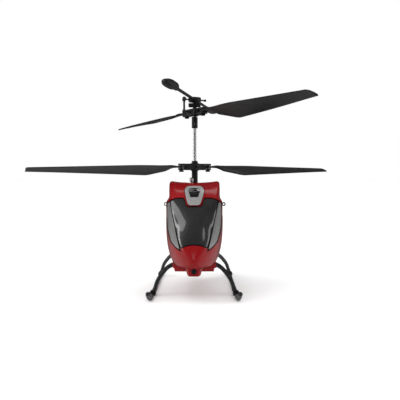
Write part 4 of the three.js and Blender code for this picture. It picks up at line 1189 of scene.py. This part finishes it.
def chin():
    """The housing under the nose, with its lens in a short dark barrel."""
    front = BODY_FRONT + 3.4
    layers = 16
    rings = []
    for k in range(layers + 1):
        up = k / layers
        z = lerp(BELLY_Z - 0.2, SPLIT_Z - GAP / 2, up)
        half = lerp(3.3, 4.4, up ** 0.8)
        ring = []
        outline = softened_outline([(-1, -1), (1, -1), (1, 1), (-1, 1)], 0.34, 8)
        for u, v in outline:
            y = lerp(front, -30 - GAP, (v + 1) / 2)
            bow = 1.6 * u * u * (1 - (v + 1) / 2)
            ring.append((half * u, y + bow, z + 0.55 * u * u * (1 - up)))
        rings.append(ring)
    body = softened(loft(rings), 0.35, 3, 50)
    cut(body, shifted(turn(plain_rod(1.3, -3, 1.2), -90, "X"), (0, front, LENS_Z)))
    finished(body, "chin_shell", "red_shell", "chin_housing", sharp=32)
    barrel = lathe(
        [(0, -0.6), (0.75, -0.6), (0.8, -0.05), (1.0, 0.12), (1.22, 0.12), (1.22, -1.1), (0, -1.1)], 0.12,
        36)
    at = spot(0, front, LENS_Z, 90, "X")
    finished(barrel, "nose_lens_barrel", "dark_lens", "nose_lens", at=at, look="black_plastic")
    glass = lathe([(0, -0.9), (0.74, -0.9), (0.7, -0.5), (0, -0.3)], 0.2, 32)
    finished(glass, "nose_lens_glass", "dark_lens", at=at)


def canopy_pins():
    """The two side pins: a slim shank through the shell and an eye to pull it by."""
    for name, side, slot in (("right", 1, "black_rod"), ("left", -1, "steel")):
        pin = lying_rod(0.6, 7.5, 15.4, edge=0.12)
        join(pin, lying_rod(1.1, 15.05, 15.5, edge=0.1))
        join(pin, shifted(turn(swept_ring(0.78, 0.34), 90, "X"), (16.3, 0, 0)))
        at = spot(0, PIN_Y, PIN_Z, outward(side))
        finished(pin, f"pin_{name}", slot, f"canopy_pin_{name}", at=at)


def swept_ring(major, minor, around=36, tube=16):
    """A torus lying in X-Y."""
    rings = [[((major + minor * b) * c, (major + minor * b) * s, minor * t) for b, t in circle(tube)]
             for c, s in circle(around)]
    return loft(rings + rings[:1], capped=False)


def slotted_head(radius, height, slot_width=0.3, cross=True):
    """A pan screw head, standing on Z = 0, with a cross or a plain slot."""
    head = lathe(
        [(0, -0.3), (radius * 0.5, -0.3), (radius * 0.5, 0), (radius, 0), (radius * 0.96, height * 0.6),
        (radius * 0.6, height), (0, height)], radius * 0.2, 28)
    arms = (
        (radius * 0.6, slot_width / 2), (slot_width / 2, radius * 0.6)) if cross else ((radius * 1.2,
        slot_width / 2),)
    for a, b in arms:
        cut(head, block((-a, -b, height * 0.35), (a, b, height + 1)))
    return head


def bracket_screw():
    screw = lathe(
        [(0, 54.2), (1.05, 54.2), (1.05, 58.4), (0.6, 58.4), (0.6, 60.3), (1.15, 60.3), (1.15, 62.2),
        (0.85, 62.7), (0, 62.7)], 0.16, 40)
    cut(screw, block((-1.3, -0.17, 62.1), (1.3, 0.17, 63)))
    for i in range(3):
        groove = tubing(1.08, 1.4, 60.75 + i * 0.42, 60.9 + i * 0.42, edge=0.02)
        cut(screw, groove)
    finished(screw, "front_screw", "steel", "bracket_screw", at=spot(-1.7, -5.4, 0), look="screw")


def belly():
    """The red tray under the body, with sockets for the struts, a vent and screw heads."""
    refined("belly_pan", 0.55)
    for name, side in (("left", -1), ("right", 1)):
        for end, y in (("front", -22.0), ("rear", 21.0)):
            socket = lying_rod(1.75, -1.4, 0.5, edge=0.35)
            at = spot(side * 11.2, y, 16.05, outward(side))
            finished(socket, f"strut_socket_{end}_{name}", "red_shell", at=at)
    for i, (x, y) in enumerate(((-8.2, -27), (8.2, -27), (-8.2, 23), (8.2, 23))):
        at = spot(x, y, BELLY_Z + 0.25, 180, "X")
        finished(slotted_head(0.95, 0.22), f"belly_screw_{i + 1}", "dark_steel", at=at)
    refined("charge_socket", 0.12)
    refined("power_switch", 0.2)


# ---------------------------------------------------------------- landing gear
SKID_X = 22.4
SKID_R = 1.05
SKID_FRONT = -34.0
SKID_BACK = 45.0
STRUT_R = 1.16


def runner_section(share, angle):
    """A runner's radius along its length, with domed ends."""
    inward = max(0.0, 1 - min(share, 1 - share) * 60)
    return (SKID_R - 0.06) * (math.sqrt(max(0.0, 1 - inward ** 2)) * 0.999 + 0.001)


def boot_section(share, angle):
    """A soft boot's radius along the front hook, with a lip at its open end."""
    lip = 0.12 * (smooth(share, 0.93, 0.96) - smooth(share, 0.97, 1.0))
    return SKID_R * (1 - 0.12 * smooth(share, 0.5, 1)) + 0.1 + lip


def leg_section(share, angle):
    return STRUT_R * lerp(1.06, 0.9, share) + 0.16 * smooth(share, 0.9, 0.97)


def stay_section(share, angle):
    """A boom stay's radius, pinched flat at both ends."""
    flat = max(1 - smooth(share, 0.02, 0.07), smooth(share, 0.93, 0.98))
    return 0.68 * (1 - 0.35 * flat * abs(math.cos(angle)))


def landing_gear():
    """Two runners with soft boots and round tips on their front hooks, and four bowed struts."""
    flat = SKID_R - 0.02
    for name, side in (("left", -1), ("right", 1)):
        spine = [
            (SKID_X + 1.0, SKID_FRONT - 5.1, flat + 2.5), (SKID_X + 0.75, SKID_FRONT - 4.7, flat + 1.35),
            (SKID_X + 0.4, SKID_FRONT - 3.4, flat + 0.4), (SKID_X + 0.1, SKID_FRONT - 1.0, flat),
            (SKID_X, SKID_FRONT + 3, flat), (SKID_X, SKID_FRONT + 12, flat), (SKID_X - 0.3, 0, flat),
            (SKID_X - 0.6, 28, flat), (SKID_X - 0.6, SKID_BACK - 5, flat + 0.3),
            (SKID_X - 0.6, SKID_BACK, flat + 1.2),]
        path = curve_points([(side * x, y, z) for x, y, z in spine], 150)
        runner = swept(path, runner_section, 28)
        finished(runner, f"runner_{name}", "skid_plastic", f"skid_{name}")
        hook = curve_points([(side * x, y, z) for x, y, z in spine[:5]], 60)
        boot = swept(hook, boot_section, 28)
        cut(boot, block((-60, -90, -5), (60, 90, 0.01)))
        softened(boot, 0.12, 2, 50)
        finished(boot, f"skid_boot_{name}", "skid_plastic", look="rubber")
        tip = hook[0]
        finished(ball(1.26, (tip.x, tip.y, tip.z + 0.25)), f"skid_tip_{name}", "skid_plastic")
        for end, top, foot in (("front", -22, -24), ("rear", 21, 35)):
            knots = [
                (10.6, top, 16.4), (12.3, top, 15.9), (14.8, lerp(top, foot, 0.25), 14.3),
                (17.7, lerp(top, foot, 0.55), 10.9), (19.9, lerp(top, foot, 0.8), 7.2), (21.3, foot, 2.4)]
            leg = swept(curve_points([(side * x, y, z) for x, y, z in knots], 60), leg_section, 26)
            finished(softened(leg, 0.2, 3, 60), f"leg_{end}_{name}", "skid_plastic", f"strut_{end}_{name}")
            clip = tubing(SKID_R - 0.04, SKID_R + 0.5, -1.5, 1.5, edge=0.25)
            for lip in (-1.1, 1.1):
                join(clip, tubing(SKID_R, SKID_R + 0.72, lip - 0.28, lip + 0.28, edge=0.18))
            cut(turn(clip, 90, "X"), block((-5, -5, -5), (5, 5, -SKID_R + 0.1)))
            join(clip, slab((-1.7, -0.9, 0.2), (0.3, 0.9, 2.2), 0.3))
            at = spot(side * (SKID_X - (0.1 if end == "front" else 0.6)), foot, flat, outward(side))
            finished(clip, f"skid_clip_{end}_{name}", "skid_plastic", at=at)


# ---------------------------------------------------------------- tail
BOOM_R = 1.9
BOOM_Z = 43.0
BOOM_START = 19.0
BOOM_END = 130.0
TAIL_ROTOR_Y = 134.5
TAIL_ROTOR_R = 13.5
TAIL_ROTOR_Z = 49.2
STAY_Y = 17.5                     # where the boom's two stays are screwed to the frame
STAY_Z = 31.2


def along_y(obj):
    """Lays an upright piece along +Y at the boom's height."""
    return shifted(turn(obj, -90, "X"), (0, 0, BOOM_Z))


def tail_boom():
    boom = along_y(tubing(1.3, BOOM_R, BOOM_START, BOOM_END, edge=0.15))
    finished(boom, "boom_tube", "black_rod", "tail_boom")
    for name, side in (("left", -1), ("right", 1)):
        path = curve_points([(side * 8.5, 16.4, 31.0), (side * 8.25, 21.6, 31.8), (side * 6.35, 52.8, 36.4),
                             (side * 4.45, 84, 40.9), (side * 4.2, 88, BOOM_Z - 1.45)], 60)
        finished(
            softened(swept(path, stay_section, 20), 0.1, 2, 60), f"boom_stay_{name}", "black_rod",
            f"boom_strut_{name}")
        post = lying_rod(0.95, 7.32, 7.95, edge=0.12)
        join(post, lying_rod(1.05, 8.95, 9.1, edge=0.05))
        finished(post, f"stay_post_{name}", "black_rod", at=spot(0, STAY_Y, STAY_Z, outward(side)))
        at = spot(side * 9.1, STAY_Y, STAY_Z, side * 90, "Y")
        finished(slotted_head(0.8, 0.4), f"stay_screw_{name}", "dark_steel", at=at)


def tail_fin():
    upright = [
        (92, BOOM_Z - 2), (104, 27), (112, 25.5), (115, 27), (108, BOOM_Z), (119, 54.5), (117, 56),
        (110, 55.5), (98, BOOM_Z + 2)]
    level = [
        (0, 84), (17, 92), (18.5, 94.5), (18, 99), (16.5, 100), (5, 97), (-5, 97), (-16.5, 100), (-18, 99),
        (-18.5, 94.5), (-17, 92)]
    fin = softened(plate(softened_outline(upright, 2.2, 6), -0.6, 0.6), 0.4, 3)
    turn(turn(fin, 90, "X"), 90, "Z")
    join(fin, softened(plate(softened_outline(level, 2.0, 6), BOOM_Z - 0.6, BOOM_Z + 0.6), 0.4, 3))
    join(fin, along_y(rod(BOOM_R + 0.9, 86, 112, edge=0.4, segments=48)))
    cut(fin, along_y(plain_rod(BOOM_R + 0.05, 80, 200, segments=48)))
    finished(fin, "fin_and_stabiliser", "red_shell", "tail_fin", sharp=32)
    for i, y in enumerate((88.5, 109.5)):
        at = spot(0, y, BOOM_Z - BOOM_R - 0.85, 180, "X")
        finished(slotted_head(0.8, 0.45), f"fin_screw_{i + 1}", "dark_steel", at=at)


def tail_drive():
    refined("tail_motor_mount", 0.3)
    motor = lathe(
        [(0, 36), (3.3, 36), (3.3, 46.9), (1.4, 47.2), (1.2, 47.7), (0.5, 47.7), (0.5, 46), (0, 46)], 0.25,
        56)
    for i in range(6):
        vent = turn(slab((2.6, -0.45, 37.2), (4, 0.45, 39.6), 0.15, 2), i * 60 + 10, "Z")
        cut(motor, vent)
    at = spot(0, TAIL_ROTOR_Y, 0)
    finished(motor, "tail_motor_can", "motor_can", "tail_motor", at=at)
    hub = lathe(
        [(0, 46.3), (0.42, 46.3), (0.42, 48.2), (1.6, 48.2), (1.6, 49.8), (1.1, 50.5), (0, 50.5)], 0.2, 40)
    for angle in (35, 215):
        join(hub, turn(tail_blade(), angle, "Z"))
    finished(hub, "tail_propeller", "blade_plastic", "tail_rotor", at=at, sharp=40)


def tail_blade():
    rings = []
    steps = 26
    for i in range(steps + 1):
        share = i / steps
        tip = smooth(share, 0.86, 1.0)
        half = lerp(1, 2, smooth(share, 0.1, 0.5)) * (1 - 0.55 * tip ** 2)
        pitch = math.radians(lerp(24, 10, share))
        reach = lerp(0.8, TAIL_ROTOR_R, share)
        ring = []
        for c, s in circle(24):
            across = half * c
            up = 0.3 * (1 - 0.4 * share) * s + 0.22 * (1 - c * c)
            ring.append((reach, across * math.cos(pitch) + up * math.sin(pitch),
                         TAIL_ROTOR_Z + up * math.cos(pitch) - across * math.sin(pitch)))
        rings.append(ring)
    return loft(rings)


# ---------------------------------------------------------------- drive, frame and electronics
GEAR_TEETH = 46
PINION_TEETH = 10
MODULE = 0.4                     # tooth size
MOTOR_Y = 11.26
MOTOR_Z = 29.2
MOTOR_R = 3.5
MOTOR_LENGTH = 16.0
PLATE_X = 6.2


def gear(teeth, bore, low, high, phase):
    """A toothed wheel with rounded tooth flanks, and a sunken web with holes where it is large enough."""
    pitch_radius = MODULE * teeth / 2
    step = TAU / teeth
    points = []
    for i in range(teeth):
        for radius, share in (
                (-0.44, -0.29), (-0.05, -0.21), (0.3, -0.14), (0.36, -0.1), (0.36, 0.1), (0.3, 0.14),
                (-0.05, 0.21), (-0.44, 0.29)):
            angle = phase + (i + share) * step
            points.append((
                (pitch_radius + radius) * math.cos(angle), (pitch_radius + radius) * math.sin(angle)))
    wheel = plate(points, low, high)
    if pitch_radius > 5:
        for bottom, top in ((low - 1, low + 0.75), (high - 0.75, high + 1)):
            cut(wheel, tubing(3.0, pitch_radius - 1.3, bottom, top, edge=0.2))
        for i in range(6):
            angle = i / 6 * TAU
            cut(wheel, rod(1.15, low - 1, high + 1, 5.4 * math.cos(angle), 5.4 * math.sin(angle), edge=0.05))
    return cut(wheel, plain_rod(bore, low - 1, high + 1))


def drive_train():
    for node, bore, low in (("outer_shaft_gear", 1.77, 23.6), ("inner_shaft_gear", 0.95, 19.6)):
        wheel = gear(GEAR_TEETH, bore, low, low + 2.5, math.pi / 2)
        finished(wheel, f"{node}_wheel", "gear_nylon", node, sharp=30)
    half_step = math.pi / PINION_TEETH
    for node, side, low, phase in (("front_pinion", -1, 23.6, math.pi / 2 + half_step),
                                   ("rear_pinion", 1, 19.6, -math.pi / 2 + half_step)):
        teeth = gear(PINION_TEETH, 0.45, low - 0.3, low + 2.8, phase)
        join(teeth, rod(0.5, low - 0.6, MOTOR_Z + 0.8, edge=0.08))
        finished(teeth, f"{node}_wheel", "brass", node, at=spot(0, side * MOTOR_Y, 0), sharp=30)
    top = MOTOR_Z + MOTOR_LENGTH
    for name, side in (("front", -1), ("rear", 1)):
        at = spot(0, side * MOTOR_Y, 0)
        can = turned(
            [(0, MOTOR_Z + 1), (0.55, MOTOR_Z + 1), (0.55, MOTOR_Z), (1.45, MOTOR_Z - 0.5), (1.7, MOTOR_Z),
            (MOTOR_R - 0.25, MOTOR_Z + 0.15), (MOTOR_R, MOTOR_Z + 0.5), (MOTOR_R, top - 0.3),
            (MOTOR_R - 0.12, top), (3, top + 0.1), (3, top + 0.6), (0, top + 0.6)], 56)
        for i in range(2):
            window = turn(
                slab((2.8, -1.2, MOTOR_Z + 2), (4.2, 1.2, MOTOR_Z + 4.4), 0.3, 2), i * 180 + 90, "Z")
            cut(can, window)
        finished(can, f"motor_can_{name}", "motor_can", f"drive_motor_{name}", at=at)
        bell = lathe(
            [(0, top + 0.5), (2.75, top + 0.5), (2.75, top + 1.3), (0.9, top + 1.5), (0.9, top + 2.0),
            (0, top + 2.0)], 0.2, 40)
        for turn_side in (-1, 1):
            join(
                bell, slab((turn_side * 1.9 - 0.45, -0.2, top + 1), (turn_side * 1.9 + 0.45, 0.2,
                top + 2.3), 0.08, 2))
        finished(bell, f"motor_bell_{name}", "black_plastic", at=at)


def frame_parts():
    for node, width in (("frame_plate_left", 0.14), ("frame_plate_right", 0.14), ("mast_bracket", 0.3),
                        ("lower_deck", 0.22), ("boom_clamp", 0.35)):
        refined(node, width)
    spots = ((-15.5, 44.5), (-15.5, 29.6), (13.5, 29.6), (27.5, 45.8), (27.5, 39.4), (4.5, 52), (-4.5, 52))
    for name, side in (("left", -1), ("right", 1)):
        for i, (y, z) in enumerate(spots):
            at = spot(side * (PLATE_X + 1.0), y, z, side * 90, "Y")
            finished(slotted_head(0.85, 0.5), f"frame_screw_{name}_{i + 1}", "steel", at=at, look="screw")


def electronics():
    rings = []
    front, rear = -36.8, -15.7
    middle_z = SPLIT_Z + 4.9
    steps = 40
    for i in range(steps + 1):
        share = i / steps
        y = lerp(front, rear, share)
        shrink = (1 - abs(2 * share - 1) ** 14 + 1e-4) ** 0.25
        rings.append([(6.2 * shrink * fuller(c, 0.28), y, middle_z + 3 * shrink * fuller(s, 0.34))
                      for c, s in circle(48)])
    finished(loft(rings), "battery_pouch", "battery_wrap", "battery", sharp=60)
    for i, y in enumerate((-35.0, -17.6)):
        band = slab((-6.3, y - 0.8, SPLIT_Z + 1.85), (6.3, y + 0.8, SPLIT_Z + 7.95), 0.8, 4)
        cut(band, slab((-6.12, y - 2, SPLIT_Z + 2.05), (6.12, y + 2, SPLIT_Z + 7.8), 0.7, 4))
        finished(band, f"battery_tape_{i + 1}", "battery_wrap", look="black_plastic")
    board = slab((-7.8, -38, 30.5), (7.8, -19.6, 31.5), 0.18, 2)
    for x, y in ((-6.6, -36.8), (6.6, -36.8), (-6.6, -20.8), (6.6, -20.8)):
        cut(board, plain_rod(0.55, 30, 32, x, y))
    finished(board, "board_base", "board", "circuit_board")
    chips = (("controller", -3.5, -32, 3.5, -25, 32.7), ("driver_left", -6.8, -24, -2.8, -21, 32.9),
             ("driver_right", 2.5, -37, 6, -34.6, 32.8), ("receiver", -6.6, -35.6, -4.4, -31.4, 32.4))
    for name, x0, y0, x1, y1, top in chips:
        chip = slab((x0, y0, 31.45), (x1, y1, top), 0.14, 2)
        finished(chip, f"chip_{name}", "board", look="black_plastic")
        legs = None
        count = int((y1 - y0) / 0.8)
        for side_x in (x0 - 0.3, x1 + 0.05):
            for k in range(count):
                y = y0 + (k + 0.5) * (y1 - y0) / count
                leg = slab((side_x, y - 0.14, 31.45), (side_x + 0.25, y + 0.14, 31.85), 0.05, 1)
                legs = join(legs, leg) if legs else leg
        finished(legs, f"chip_legs_{name}", "board", look="screw")
    for i in range(5):
        can = lathe([(0, 31.4), (0.7, 31.4), (0.7, 33.2), (0.55, 33.4), (0, 33.4)], 0.1, 28)
        at = spot(lerp(-1.0, 6.2, i / 4), -22.3 + 0.6 * (i % 2), 0)
        finished(can, f"capacitor_{i + 1}", "board", at=at, look="motor_can")


canopy()
panels()
intake()
chin()
canopy_pins()
bracket_screw()
belly()
landing_gear()
tail_boom()
tail_fin()
tail_drive()
drive_train()
frame_parts()
electronics()

for name, obj in nodes.items():
    obj.data.materials.clear()
    obj.data.materials.append(LOOKS[SLOT_OF[name]])
    obj.data.set_sharp_from_angle(angle=math.radians(35))
